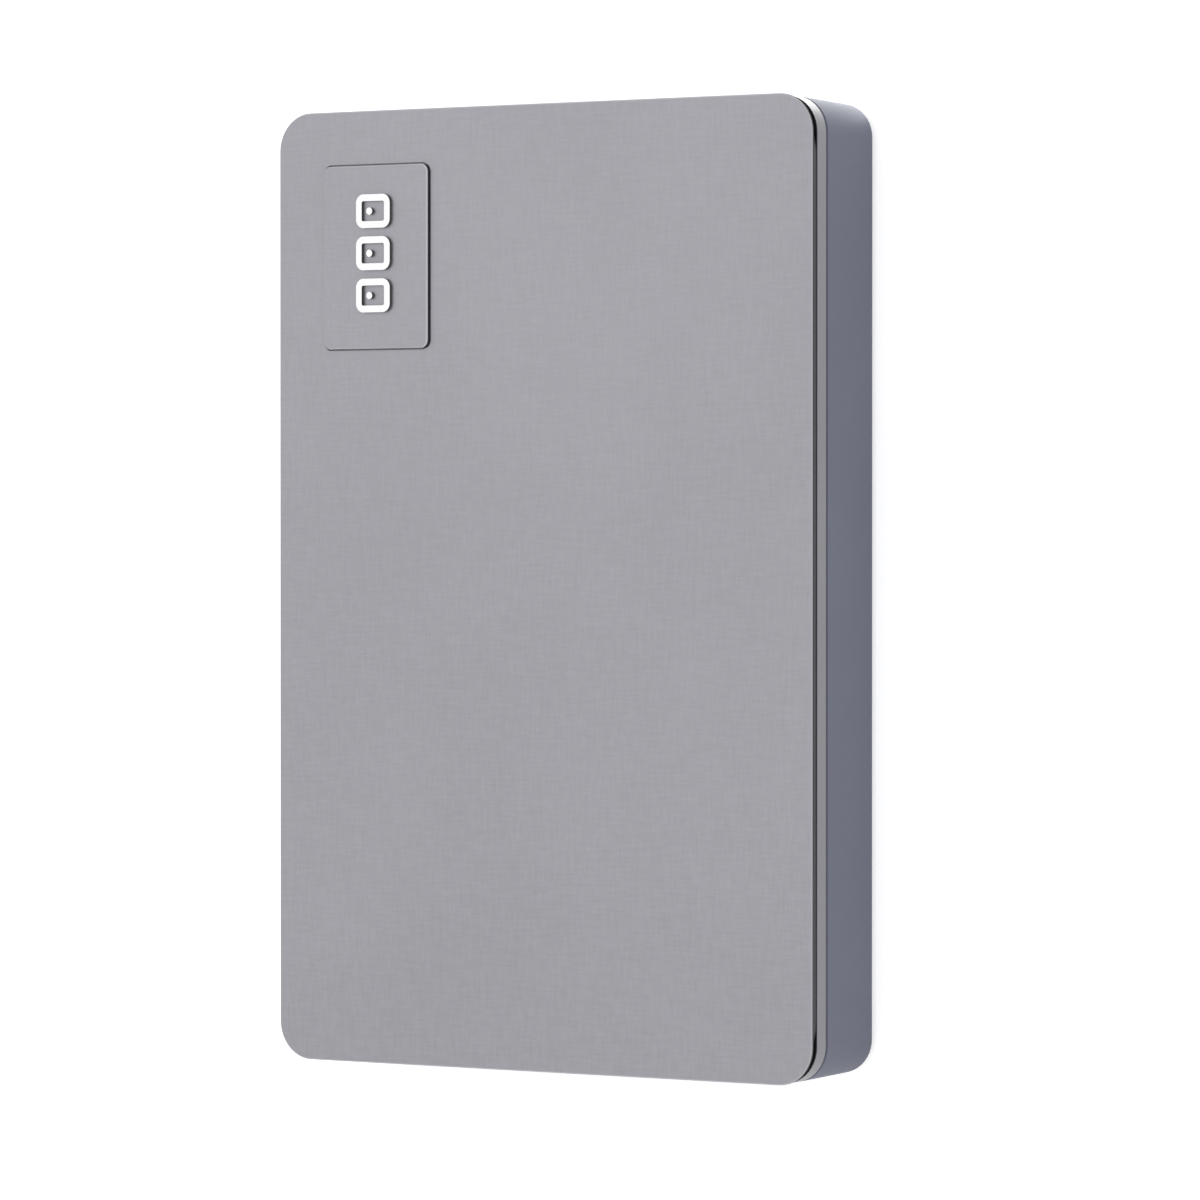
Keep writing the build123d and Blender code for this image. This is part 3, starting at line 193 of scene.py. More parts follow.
def stretch_noise(tree, noise_value):
    """Spreads a noise, which stays near its middle, over the whole of 0 to 1."""
    spread = add_node(tree, "ShaderNodeMapRange", {"From Min": NOISE_LOW, "From Max": NOISE_HIGH})
    tree.links.new(noise_value, spread.inputs["Value"])
    return spread.outputs["Result"]


def grain_of(tree, group, place, **values):
    """Places a group in a finish with its own values, and gives back its grain."""
    node = add_node(tree, "ShaderNodeGroup", node_tree=group)
    for key, value in values.items():
        node.inputs[key.replace("_", " ").title()].default_value = value
    tree.links.new(place, node.inputs["Place"])
    return node.outputs["Grain"]


print("tools for groups are ready")


# %% Mottle: an even noise, used large for drift in tone and small for a moulded skin
def build_mottle():
    """A noise whose spots have a size in millimetres."""
    group, entry, leave = new_group("mottle", {"Size": 1.0, "Detail": 2.0})
    frequency = math_node(group, "DIVIDE", 1.0, entry.outputs["Size"])
    noise = add_node(group, "ShaderNodeTexNoise")
    group.links.new(entry.outputs["Place"], noise.inputs["Vector"])
    group.links.new(frequency, noise.inputs["Scale"])
    group.links.new(entry.outputs["Detail"], noise.inputs["Detail"])
    group.links.new(stretch_noise(group, noise.outputs["Fac"]), leave.inputs["Grain"])
    return group


mottle = build_mottle()
print("group", mottle.name, "built with", len(mottle.nodes), "nodes")


# %% Brushing: fine lines along the piece's length, crossed by lines over its width
def build_brushing():
    """Two noises, each drawn out along one axis, and mixed by how much they cross."""
    group, entry, leave = new_group("brushing", {"Pitch": 0.2, "Length": 2.0, "Crossing": 0.5})
    axes = add_node(group, "ShaderNodeSeparateXYZ")
    group.links.new(entry.outputs["Place"], axes.inputs["Vector"])
    lines = []
    for long_axis in ("Y", "X"):
        squeezed = add_node(group, "ShaderNodeCombineXYZ")
        for axis in ("X", "Y", "Z"):
            step = entry.outputs["Length" if axis == long_axis else "Pitch"]
            steps = math_node(group, "DIVIDE", axes.outputs[axis], step)
            group.links.new(steps, squeezed.inputs[axis])
        noise = add_node(group, "ShaderNodeTexNoise", {"Scale": 1.0, "Detail": 2.0})
        group.links.new(squeezed.outputs["Vector"], noise.inputs["Vector"])
        lines.append(noise.outputs["Fac"])
    crossed = add_node(group, "ShaderNodeMix", data_type="FLOAT")
    group.links.new(entry.outputs["Crossing"], crossed.inputs[0])
    group.links.new(lines[0], crossed.inputs[2])
    group.links.new(lines[1], crossed.inputs[3])
    group.links.new(stretch_noise(group, crossed.outputs[0]), leave.inputs["Grain"])
    return group


brushing = build_brushing()
print("group", brushing.name, "built with", len(brushing.nodes), "nodes")

# %% Turning: rings about an upright axis, as a lathe or a polishing pad leaves them
WITHOUT_HEIGHT = (1.0, 1.0, 0.0)


def build_turning():
    """A noise that changes only with the distance from an upright axis."""
    group, entry, leave = new_group("turning", {"Centre X": 0.0, "Centre Y": 0.0, "Pitch": 0.2})
    centre = add_node(group, "ShaderNodeCombineXYZ")
    group.links.new(entry.outputs["Centre X"], centre.inputs["X"])
    group.links.new(entry.outputs["Centre Y"], centre.inputs["Y"])
    outward = add_node(group, "ShaderNodeVectorMath", operation="SUBTRACT")
    group.links.new(entry.outputs["Place"], outward.inputs[0])
    group.links.new(centre.outputs["Vector"], outward.inputs[1])
    flat = add_node(group, "ShaderNodeVectorMath", operation="MULTIPLY")
    flat.inputs[1].default_value = WITHOUT_HEIGHT
    group.links.new(outward.outputs["Vector"], flat.inputs[0])
    radius = add_node(group, "ShaderNodeVectorMath", operation="LENGTH")
    group.links.new(flat.outputs["Vector"], radius.inputs[0])
    rings = add_node(
        group, "ShaderNodeTexNoise", {"Scale": 1.0, "Detail": 1.0}, noise_dimensions="1D")
    turns = math_node(group, "DIVIDE", radius.outputs["Value"], entry.outputs["Pitch"])
    group.links.new(turns, rings.inputs["W"])
    group.links.new(stretch_noise(group, rings.outputs["Fac"]), leave.inputs["Grain"])
    return group


turning = build_turning()
print("group", turning.name, "built with", len(turning.nodes), "nodes")

# %% [markdown]
# ## Masks for painted shade and highlights on edges
# Some faces get a colour that stands for light: painted shade or painted highlights, laid by
# whether a face is a wall, a bevel or level. Those faces could be picked by hand, but the mesh
# stays as it arrived. So one more group reads them off the piece's own normals: a face that
# stands upright is a wall, and one that leans is a bevel. It needs no place, and it gives back
# two masks.

# %% Edge masks: bevelled and upright faces, from a piece's own normals, for painted shade and highlights
BEVEL_BELOW = 0.90
WALL_BELOW = 0.40


def build_shade_and_highlight_masks():
    """Two masks, told apart by how far a face's normal points up or down."""
    group = bpy.data.node_groups.new("shade_and_highlight_masks", "ShaderNodeTree")
    for label in ("Bevel", "Wall"):
        group.interface.new_socket(label, in_out="OUTPUT", socket_type="NodeSocketFloat")
    leave = group.nodes.new("NodeGroupOutput")
    surface = add_node(group, "ShaderNodeTexCoord")
    axes = add_node(group, "ShaderNodeSeparateXYZ")
    group.links.new(surface.outputs["Normal"], axes.inputs["Vector"])
    level = math_node(group, "ABSOLUTE", axes.outputs["Z"], 0.0)
    wall = math_node(group, "LESS_THAN", level, WALL_BELOW)
    tilted = math_node(group, "LESS_THAN", level, BEVEL_BELOW)
    group.links.new(math_node(group, "SUBTRACT", tilted, wall), leave.inputs["Bevel"])
    group.links.new(wall, leave.inputs["Wall"])
    return group


def lay_over(tree, mask, under, colour):
    """Lays a plain colour over another one where a mask is 1."""
    mix = add_node(tree, "ShaderNodeMixRGB", {"Color2": (*colour, 1.0)})
    tree.links.new(mask, mix.inputs["Fac"])
    tree.links.new(under, mix.inputs["Color1"])
    return mix.outputs["Color"]


def lay_off_walls(tree, under, colour):
    """Lays a plain colour over every face that isn't a wall."""
    edges = add_node(tree, "ShaderNodeGroup", node_tree=shade_and_highlight_masks)
    not_wall = math_node(tree, "SUBTRACT", 1.0, edges.outputs["Wall"])
    return lay_over(tree, not_wall, under, colour)


shade_and_highlight_masks = build_shade_and_highlight_masks()
print("group", shade_and_highlight_masks.name, "built with", len(shade_and_highlight_masks.nodes), "nodes")

# %% [markdown]
# ## The face plate and its raised tile
# The face is one thin sheet of aluminium with a satin, anodised grey. Up close it shows fine
# scratches in both directions, like a very fine weave, and from a step away it is one calm
# tone. A mirror with streaks would be too lively, so the shader is metal with a wide gloss and
# the crossed brushing moves its colour and its roughness by only a few hundredths. The tile in
# the corner is the same sheet. Their upright walls are painted darker as painted shade, which
# outlines each sheet like the shadow in the gap round it, and the fine bevels above them are
# painted lighter as a painted highlight, where a low lamp would catch them. The edge masks tell
# the two apart.

# %% Satin plate metal
# The lighter bevel tones are painted highlights, and the darker wall tones are painted shade.
PLATE_GREY = (0.306, 0.302, 0.327)
PLATE_PAINTED_HIGHLIGHT = (0.400, 0.395, 0.424)
PLATE_PAINTED_SHADE = (0.034, 0.034, 0.038)
TILE_PAINTED_HIGHLIGHT = (0.530, 0.523, 0.560)
TILE_PAINTED_SHADE = (0.170, 0.168, 0.182)


def plate_metal(name, highlight_colour, shade_colour):
    """Satin sheet metal, with painted highlights on its bevels and painted shade on its upright
    walls.
    """
    finish, tree, shader = new_finish(name, {"Metallic": 0.85, "Specular IOR Level": 0.4})
    place = place_in_mm(tree)
    lines = grain_of(tree, brushing, place, pitch=0.34, length=2.4, crossing=0.5)
    drift = grain_of(tree, mottle, place, size=26.0, detail=1.0)
    tone = weigh(tree, lines, drift, share=0.8)
    satin = tone_along(tree, tone, PLATE_GREY, darker=0.10, lighter=0.10)
    edges = add_node(tree, "ShaderNodeGroup", node_tree=shade_and_highlight_masks)
    # Painted highlight on the bevels, then painted shade on the upright walls, over the satin.
    highlighted = lay_over(tree, edges.outputs["Bevel"], satin, highlight_colour)
    paint(tree, shader, lay_over(tree, edges.outputs["Wall"], highlighted, shade_colour))
    roughen(tree, shader, lines, low=0.40, high=0.48)
    press(tree, shader, lines, depth_mm=0.002)
    return finish


dress(plate_metal("satin_plate", PLATE_PAINTED_HIGHLIGHT, PLATE_PAINTED_SHADE), "face_plate")
dress(plate_metal("satin_tile", TILE_PAINTED_HIGHLIGHT, TILE_PAINTED_SHADE), "tag_tile")

# %% [markdown]
# ## White marks on the tile
# The tile carries raised marks. Their tops are printed in thick white enamel, with a thin gloss
# and the faint ripple of wet paint, and their walls are painted dark as painted shade. Two
# separate pieces would do the same, but the edge mask already knows which faces are walls.

# %% White enamel, with painted shade on the walls
ENAMEL_WHITE = (0.90, 0.90, 0.91)
MARK_PAINTED_SHADE = (0.05, 0.05, 0.054)


def white_enamel():
    """White paint with a ripple on the tops, and painted shade on the walls."""
    finish, tree, shader = new_finish("white_enamel", {"Specular IOR Level": 0.5})
    ripple = grain_of(tree, mottle, place_in_mm(tree), size=0.6, detail=2.0)
    white = tone_along(tree, ripple, ENAMEL_WHITE, darker=0.03, lighter=0.03)
    edges = add_node(tree, "ShaderNodeGroup", node_tree=shade_and_highlight_masks)
    # The dark walls are painted shade beside the raised marks.
    paint(tree, shader, lay_over(tree, edges.outputs["Wall"], white, MARK_PAINTED_SHADE))
    roughen(tree, shader, ripple, low=0.30, high=0.40)
    press(tree, shader, ripple, depth_mm=0.004)
    return finish


dress(white_enamel(), "tag_marks")

# %% [markdown]
# ## The dark line round the face
# The plate is glued to a black moulded carrier, which shows only as a thin dark line. Its black
# is partly its own colour and partly painted shade, set to the tone of the gap round the plate.
# It is a smooth plastic with little shine: the line is dark grey where it meets the light from
# the side, and black round the corners, where the carrier sits further back. Its level top is
# painted a lighter grey, as painted light that softens the shade in the gap round the tile, so
# that all that shows there is a soft line. The wall mask leaves this grey to the level faces.
# The sliders that fly over the disks are a dark ceramic, which the same recipe gives when the
# grey is left out.

# %% Black moulded carrier, partly painted shade, and dark sliders
# The carrier's black is partly its own colour and partly painted shade; the grey is painted light
# in the gap round the tile.
CARRIER_SHADE_AND_SLIDER_BLACK = (0.040, 0.039, 0.046)
GAP_PAINTED_LIGHT = (0.50, 0.49, 0.52)
MOULDED_SPREAD = 0.05


def moulded_plastic(
        name, colour, skin_size, roughness, skin_depth, variation=0.12, shine=0.5, painted_gap_light=None):
    """A moulded plastic: a fine skin in tone, roughness and bump, over a slow drift in tone."""
    finish, tree, shader = new_finish(name, {"Specular IOR Level": shine})
    place = place_in_mm(tree)
    skin = grain_of(tree, mottle, place, size=skin_size, detail=3.0)
    drift = grain_of(tree, mottle, place, size=18.0, detail=1.0)
    tone = weigh(tree, skin, drift, share=0.5)
    body = tone_along(tree, tone, colour, darker=variation, lighter=variation)
    # The optional colour on the level faces is painted light that softens the shade in a gap.
    if painted_gap_light:
        body = lay_off_walls(tree, body, painted_gap_light)
    paint(tree, shader, body)
    roughen(tree, shader, skin, low=roughness - MOULDED_SPREAD, high=roughness + MOULDED_SPREAD)
    press(tree, shader, skin, depth_mm=skin_depth)
    return finish


smooth_skin = {"skin_size": 0.3, "roughness": 0.45, "skin_depth": 0.002, "shine": 0.25}
dress(
    moulded_plastic("carrier_black", CARRIER_SHADE_AND_SLIDER_BLACK, painted_gap_light=GAP_PAINTED_LIGHT, **smooth_skin),
    "plate_carrier")
dress(moulded_plastic("slider_black", CARRIER_SHADE_AND_SLIDER_BLACK, **smooth_skin), "head_sliders")

# %% [markdown]
# ## The silver band
# Under the dark line runs the upper cover. It is moulded too, but sprayed with a satin silver.
# Silver paint is clear lacquer over tiny flakes, each at its own tilt. Real flakes are far too
# small to model, so a fine noise gives each spot its own gloss under a thin clear coat. Only
# the upright outside gets the silver: the rest, which lies under the plate's edge, is painted
# near black as painted shade and widens the dark line.

# %% Satin silver paint
BAND_SILVER = (0.182, 0.182, 0.196)
BAND_PAINTED_SHADE = (0.012, 0.012, 0.014)


def silver_paint():
    """Silver lacquer on the walls, and painted shade on the other faces."""
    finish, tree, shader = new_finish(
        "satin_silver", {"Metallic": 0.5, "Coat Weight": 0.15, "Coat Roughness": 0.3})
    place = place_in_mm(tree)
    flakes = grain_of(tree, mottle, place, size=0.09, detail=1.0)
    drift = grain_of(tree, mottle, place, size=20.0, detail=1.0)
    tone = weigh(tree, flakes, drift, share=0.6)
    silver = tone_along(tree, tone, BAND_SILVER, darker=0.05, lighter=0.05)
    # Painted shade on every face that isn't a wall, under the plate's edge.
    paint(tree, shader, lay_off_walls(tree, silver, BAND_PAINTED_SHADE))
    roughen(tree, shader, flakes, low=0.34, high=0.46)
    press(tree, shader, flakes, depth_mm=0.001)
    return finish


dress(silver_paint(), "top_cover")

# %% [markdown]
# ## The blue-grey lower shell
# The lower shell is moulded in a matt blue-grey. The mould was spark-eroded, which leaves a very
# fine even skin that takes away most of the gloss. One moulded-plastic recipe serves the shell,
# the black inner plastics and the cream ones, each with its own colour and scale of skin.

# %% Matt shell and the other moulded pieces
SHELL_GREY = (0.1000, 0.1085, 0.1455)
PLASTIC_BLACK = (0.014, 0.014, 0.015)
PLASTIC_CREAM = (0.62, 0.58, 0.48)

shell_blue_grey = moulded_plastic(
    "shell_blue_grey", SHELL_GREY, skin_size=0.16, roughness=0.60, skin_depth=0.005,
    variation=0.06, shine=0.35)
black_plastic = moulded_plastic(
    "black_plastic", PLASTIC_BLACK, skin_size=0.35, roughness=0.42, skin_depth=0.004)
cream_plastic = moulded_plastic(
    "cream_plastic", PLASTIC_CREAM, skin_size=0.5, roughness=0.38, skin_depth=0.003,
    variation=0.05)

dress(shell_blue_grey, "lower_shell")
dress(
    black_plastic, "port_tongue", "bridge_chips", "bridge_socket", "drive_plug", "drive_chips",
    "flex_bracket")
dress(cream_plastic, "status_light", "park_ramp")

# %% [markdown]
# ## Rubber and foam
# Feet, bumpers and the gasket are black rubber: nearly no gloss and a dusty, slightly uneven
# grey. The pad over the drive is open foam, whose cells show as small pits. A cell texture
# gives each cell a rim and a hollow, which plain noise can't, and the hollows are painted
# darker as painted shade.

# %% Rubber and foam
RUBBER_BLACK = (0.022, 0.022, 0.023)
FOAM_GREY = (0.11, 0.11, 0.115)


def soft_rubber():
    """Matt black rubber with a little dust."""
    finish, tree, shader = new_finish(
        "soft_rubber", {"Specular IOR Level": 0.3, "Sheen Weight": 0.08})
    place = place_in_mm(tree)
    dust = grain_of(tree, mottle, place, size=2.2, detail=4.0)
    skin = grain_of(tree, mottle, place, size=0.2, detail=2.0)
    paint(tree, shader, tone_along(tree, dust, RUBBER_BLACK, darker=0.2, lighter=0.45))
    roughen(tree, shader, dust, low=0.66, high=0.82)
    press(tree, shader, skin, depth_mm=0.008)
    return finish


def open_foam():
    """Foam whose cells are pits, with painted shade darkening their hollows and lighter rims."""
    finish, tree, shader = new_finish("open_foam", {"Specular IOR Level": 0.2, "Roughness": 0.9})
    cells = add_node(tree, "ShaderNodeTexVoronoi", {"Scale": 2.6})
    tree.links.new(place_in_mm(tree), cells.inputs["Vector"])
    rim = value_along(tree, cells.outputs["Distance"], low=0.0, high=1.4)
    # The colour is darker in each cell's hollow, as painted shade.
    paint(tree, shader, tone_along(tree, rim, FOAM_GREY, darker=0.5, lighter=0.4))
    press(tree, shader, rim, depth_mm=0.15)
    return finish


dress(soft_rubber(), "rubber_feet", "corner_bumpers", "cover_gasket")
dress(open_foam(), "top_pad")

# %% [markdown]
# ## Bare metals
# The port, the covers, the screws, the cast base and the arm are bare or plated metal. They
# share one recipe: a metal colour, a brushing whose lines are long for rolled sheet and short
# for milled or tumbled pieces, and a drift that keeps large faces from looking printed.

# %% A recipe for bare metal
METAL_SPREAD = 0.06


def bare_metal(name, colour, roughness, pitch, length, crossing, depth):
    """A metal with its own brushing: pitch, length and depth of the lines are in millimetres."""
    finish, tree, shader = new_finish(name, {"Metallic": 1.0})
    place = place_in_mm(tree)
    lines = grain_of(tree, brushing, place, pitch=pitch, length=length, crossing=crossing)
    drift = grain_of(tree, mottle, place, size=8.0, detail=2.0)
    tone = weigh(tree, lines, drift, share=0.5)
    paint(tree, shader, tone_along(tree, tone, colour, darker=0.10, lighter=0.08))
    roughen(tree, shader, lines, low=roughness - METAL_SPREAD, high=roughness + METAL_SPREAD)
    press(tree, shader, lines, depth_mm=depth)
    return finish


print("recipe for bare metal is ready")

# %% Plated, rolled, milled and cast metal
NICKEL = (0.60, 0.58, 0.54)
GOLD = (0.88, 0.58, 0.22)
STAINLESS = (0.52, 0.52, 0.53)
SCREW_ZINC = (0.46, 0.46, 0.48)
ALUMINIUM = (0.72, 0.72, 0.74)
CAST_GREY = (0.34, 0.34, 0.355)

port_nickel = bare_metal(
    "port_nickel", NICKEL, roughness=0.26, pitch=0.12, length=3.0, crossing=0.1, depth=0.001)
contact_gold = bare_metal(
    "contact_gold", GOLD, roughness=0.24, pitch=0.10, length=1.0, crossing=0.2, depth=0.001)
rolled_steel = bare_metal(
    "rolled_steel", STAINLESS, roughness=0.34, pitch=0.15, length=14.0, crossing=0.0, depth=0.002)
screw_zinc = bare_metal(
    "screw_zinc", SCREW_ZINC, roughness=0.28, pitch=0.10, length=0.5, crossing=0.5, depth=0.002)
magnet_nickel = bare_metal(
    "magnet_nickel", NICKEL, roughness=0.20, pitch=0.40, length=0.6, crossing=0.5, depth=0.003)
milled_aluminium = bare_metal(
    "milled_aluminium", ALUMINIUM, roughness=0.32, pitch=0.12, length=2.4, crossing=0.2,
    depth=0.002)
cast_aluminium = bare_metal(
    "cast_aluminium", CAST_GREY, roughness=0.55, pitch=0.45, length=0.6, crossing=0.5, depth=0.02)

dress(port_nickel, "port_shell")
dress(contact_gold, "port_contacts")
dress(rolled_steel, "drive_cover", "disk_clamp", "head_springs")
dress(
    screw_zinc, "cover_screws", "board_screws", "motor_sleeve", "pivot_post", "yoke_posts",
    "spindle_shaft", "clamp_screws", "arm_bearing")
dress(magnet_nickel, "lower_yoke", "upper_yoke", "yoke_magnets", "rotor_magnet")
dress(milled_aluminium, "spindle_hub", "platter_spacer", "arm_block")
dress(cast_aluminium, "drive_base")

# %% [markdown]
# ## Disks
# A disk is polished until it is a mirror, then coated. What is left of the polishing is a set of
# very faint rings about the spindle, so the rings touch only the gloss and the tint. Their
# centre is read from the disk's own box, and the rings turn with the disk.

# %% Mirror disks
DISK_SILVER = (0.78, 0.77, 0.76)


def disk_mirror():
    """A mirror with faint rings about the spindle."""
    low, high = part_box("upper_platter")
    middle = (low + high) / 2.0 / MM
    finish, tree, shader = new_finish("disk_mirror", {"Metallic": 1.0})
    rings = grain_of(
        tree, turning, place_in_mm(tree), centre_x=middle.x, centre_y=middle.y, pitch=0.35)
    paint(tree, shader, tone_along(tree, rings, DISK_SILVER, darker=0.03, lighter=0.03))
    roughen(tree, shader, rings, low=0.03, high=0.07)
    return finish


dress(disk_mirror(), "lower_platter", "upper_platter")

# %% [markdown]
# ## Windings
# The motor and the arm are driven by coils of enamelled copper wire. Hundreds of turns could be
# modelled, but they lie side by side so closely that only their fine ribs show. Rings about the
# coil's own middle give those ribs as bump, under a clear coat for the enamel.

# %% Enamelled copper
COPPER = (0.62, 0.24, 0.09)


def copper_windings(name, node):
    """Copper with the ribs of its wire, under clear enamel."""
    low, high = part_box(node)
    middle = (low + high) / 2.0 / MM
    finish, tree, shader = new_finish(
        name, {"Metallic": 1.0, "Coat Weight": 0.6, "Coat Roughness": 0.15})
    turns = grain_of(
        tree, turning, place_in_mm(tree), centre_x=middle.x, centre_y=middle.y, pitch=0.14)
    paint(tree, shader, tone_along(tree, turns, COPPER, darker=0.25, lighter=0.12))
    roughen(tree, shader, turns, low=0.24, high=0.36)
    press(tree, shader, turns, depth_mm=0.03)
    return finish


for coil in ("motor_stator", "voice_coil"):
    dress(copper_windings(coil + "_copper", coil), coil)

# %% [markdown]
# ## Circuit boards and the flexible ribbon
# A board is glass cloth under a green mask, and copper tracks show through the mask as lighter
# lines. Drawing every track would be a circuit plan of its own, so a brick texture with long
# thin courses stands for bundles of tracks. The amber ribbon has tracks too, all one way.

# %% Green boards and amber ribbon
MASK_GREEN = (0.008, 0.085, 0.038)
TRACK_GREEN = (0.03, 0.20, 0.085)
RIBBON_AMBER = (0.42, 0.17, 0.02)
RIBBON_TRACK = (0.58, 0.28, 0.07)
BOARD_SPREAD = 0.05


def tracked_board(name, ground, track, row_height, brick_width, roughness):
    """A board whose tracks are the joints of a brick texture, over a fine cloth."""
    finish, tree, shader = new_finish(
        name, {"Specular IOR Level": 0.5, "Coat Weight": 0.3, "Coat Roughness": 0.2})
    place = place_in_mm(tree)
    tracks = add_node(
        tree, "ShaderNodeTexBrick", {"Scale": 1.0, "Mortar Size": 0.12, "Mortar Smooth": 0.1})
    tracks.inputs["Brick Width"].default_value = brick_width
    tracks.inputs["Row Height"].default_value = row_height
    tree.links.new(place, tracks.inputs["Vector"])
    cloth = grain_of(tree, brushing, place, pitch=0.25, length=0.9, crossing=0.5)
    shade = weigh(tree, tracks.outputs["Fac"], cloth, share=0.8)
    paint(tree, shader, colour_along(tree, shade, ground, track))
    roughen(tree, shader, cloth, low=roughness - BOARD_SPREAD, high=roughness + BOARD_SPREAD)
    press(tree, shader, tracks.outputs["Fac"], depth_mm=0.02)
    return finish


green_board = tracked_board(
    "green_board", MASK_GREEN, TRACK_GREEN, row_height=0.7, brick_width=6.5, roughness=0.36)
amber_ribbon = tracked_board(
    "amber_ribbon", RIBBON_AMBER, RIBBON_TRACK, row_height=0.45, brick_width=30.0, roughness=0.30)

dress(green_board, "bridge_board", "drive_board")
dress(amber_ribbon, "flex_ribbon")

# %% [markdown]
# ## Felt and the clear light pipe
# The small filter is felted fibre, so stretched noise in both directions stands for the fibres.
# The light pipe is clear acrylic with a frosted tip: light goes through it, and a fine noise in
# its gloss gives the frost. Glass keeps one plain value for how much light goes through.

# %% Felt and acrylic
FELT_WHITE = (0.70, 0.69, 0.66)
ACRYLIC_CLEAR = (0.93, 0.95, 0.97)


def felt():
    """Pale felt with short fibres both ways."""
    finish, tree, shader = new_finish(
        "filter_felt", {"Specular IOR Level": 0.2, "Roughness": 0.92})
    fibres = grain_of(tree, brushing, place_in_mm(tree), pitch=0.07, length=0.8, crossing=0.5)
    paint(tree, shader, tone_along(tree, fibres, FELT_WHITE, darker=0.2, lighter=0.08))
    press(tree, shader, fibres, depth_mm=0.03)
    return finish


def frosted_acrylic():
    """Clear acrylic with a fine frost."""
    finish, tree, shader = new_finish(
        "frosted_acrylic", {"Transmission Weight": 0.7, "IOR": 1.49})
    frost = grain_of(tree, mottle, place_in_mm(tree), size=0.15, detail=2.0)
    paint(tree, shader, tone_along(tree, frost, ACRYLIC_CLEAR, darker=0.04, lighter=0.0))
    roughen(tree, shader, frost, low=0.22, high=0.38)
    press(tree, shader, frost, depth_mm=0.003)
    return finish


dress(felt(), "air_filter")
dress(frosted_acrylic(), "light_pipe")

# %% [markdown]
# ## The floor
# The drive lies on a plain, pale sheet of white acrylic with light under it, as product tables
# have. A sheet lit only from above would carry a grey shadow all round the drive, and the
# photograph has none, so the sheet glows a little, which also lifts the drive's side walls.
# Seen from below it lets the view through, so that the drive's back can be looked at too, and it
# lies a hair under the feet, because two faces at one height would flicker.

# %% Pale floor
FLOOR_HALF = 4.0
FLOOR_HEIGHT = cad_low.z - 0.02 * MM
FLOOR_WHITE = (0.90, 0.90, 0.90)
FLOOR_GLOW = 0.46
WHITE_LIGHT = (1.0, 1.0, 1.0)


def see_through_from_below(tree, shader):
    """Makes the back of a sheet clear and leaves its front as it is."""
    side = add_node(tree, "ShaderNodeNewGeometry")
    clear = add_node(tree, "ShaderNodeBsdfTransparent")
    choice = add_node(tree, "ShaderNodeMixShader")
    tree.links.new(side.outputs["Backfacing"], choice.inputs["Fac"])
    tree.links.new(shader.outputs["BSDF"], choice.inputs[1])
    tree.links.new(clear.outputs["BSDF"], choice.inputs[2])
    tree.links.new(choice.outputs["Shader"], tree.nodes["Material Output"].inputs["Surface"])


def glowing_acrylic():
    """White acrylic with a slight cloudiness and a light behind it."""
    finish, tree, shader = new_finish("floor_acrylic", {
        "Roughness": 0.8,
        "Specular IOR Level": 0.2,
        "Emission Color": (*WHITE_LIGHT, 1.0),
        "Emission Strength": FLOOR_GLOW})
    cloud = grain_of(tree, mottle, place_in_mm(tree), size=40.0, detail=2.0)
    paint(tree, shader, tone_along(tree, cloud, FLOOR_WHITE, darker=0.01, lighter=0.01))
    see_through_from_below(tree, shader)
    return finish


def pale_floor():
    """One large square under the drive."""
    signs = [(-1, -1), (1, -1), (1, 1), (-1, 1)]
    corners = [(x * FLOOR_HALF, y * FLOOR_HALF, FLOOR_HEIGHT) for x, y in signs]
    mesh = bpy.data.meshes.new("floor")
    mesh.from_pydata(corners, [], [(0, 1, 2, 3)])
    mesh.materials.append(glowing_acrylic())
    floor = bpy.data.objects.new("floor", mesh)
    bpy.context.scene.collection.objects.link(floor)
    return floor


floor = pale_floor()
print("floor at height", round(FLOOR_HEIGHT / MM, 3), "mm")

# %% [markdown]
# ## Soft studio light
# The photograph's light is even, but the corner that is up in the picture turns white while the
# one below stays grey. A lamp past that end would whiten the whole end of the case. A wall also
# mirrors the table in front of it, though, and it mirrors most where we look along it, which is
# only in that corner. So a lit strip, as wide as the case, lies flat on the table close to the
# end. A white dome and a large overhead panel light everything else. A low lamp could pick out
# the bevels, but seen from the far side the whole plate would mirror it, so the bevels' lighter
# colour is a painted highlight in its place. The strip would turn the plate's thin edges white,
# so it is kept off the face.

# %% Dome and soft panels
def white_dome(strength):
    """An even white light from everywhere."""
    world = bpy.data.worlds.new("white_dome")
    world.use_nodes = True
    background = world.node_tree.nodes["Background"]
    background.inputs["Color"].default_value = (*WHITE_LIGHT, 1.0)
    background.inputs["Strength"].default_value = strength
    bpy.context.scene.world = world


def soft_panel(name, place, facing, side, watts, colour):
    """A square soft light that shines the way it faces, and isn't seen itself."""
    lamp = bpy.data.lights.new(name, "AREA")
    lamp.energy = watts
    lamp.color = colour
    lamp.size = side
    panel = bpy.data.objects.new(name, lamp)
    panel.location = place
    panel.rotation_mode = "QUATERNION"
    panel.rotation_quaternion = facing.to_track_quat("-Z", "Y")
    panel.visible_camera = False
    bpy.context.scene.collection.objects.link(panel)
    return panel


def keep_off(panel, pieces):
    """Keeps a panel's light off some pieces."""
    unlit = bpy.data.collections.new(panel.name + "_unlit")
    for piece in pieces:
        unlit.objects.link(piece)
    for entry in unlit.collection_objects:
        entry.light_linking.link_state = "EXCLUDE"
    panel.light_linking.receiver_collection = unlit


print("tools for light are ready")

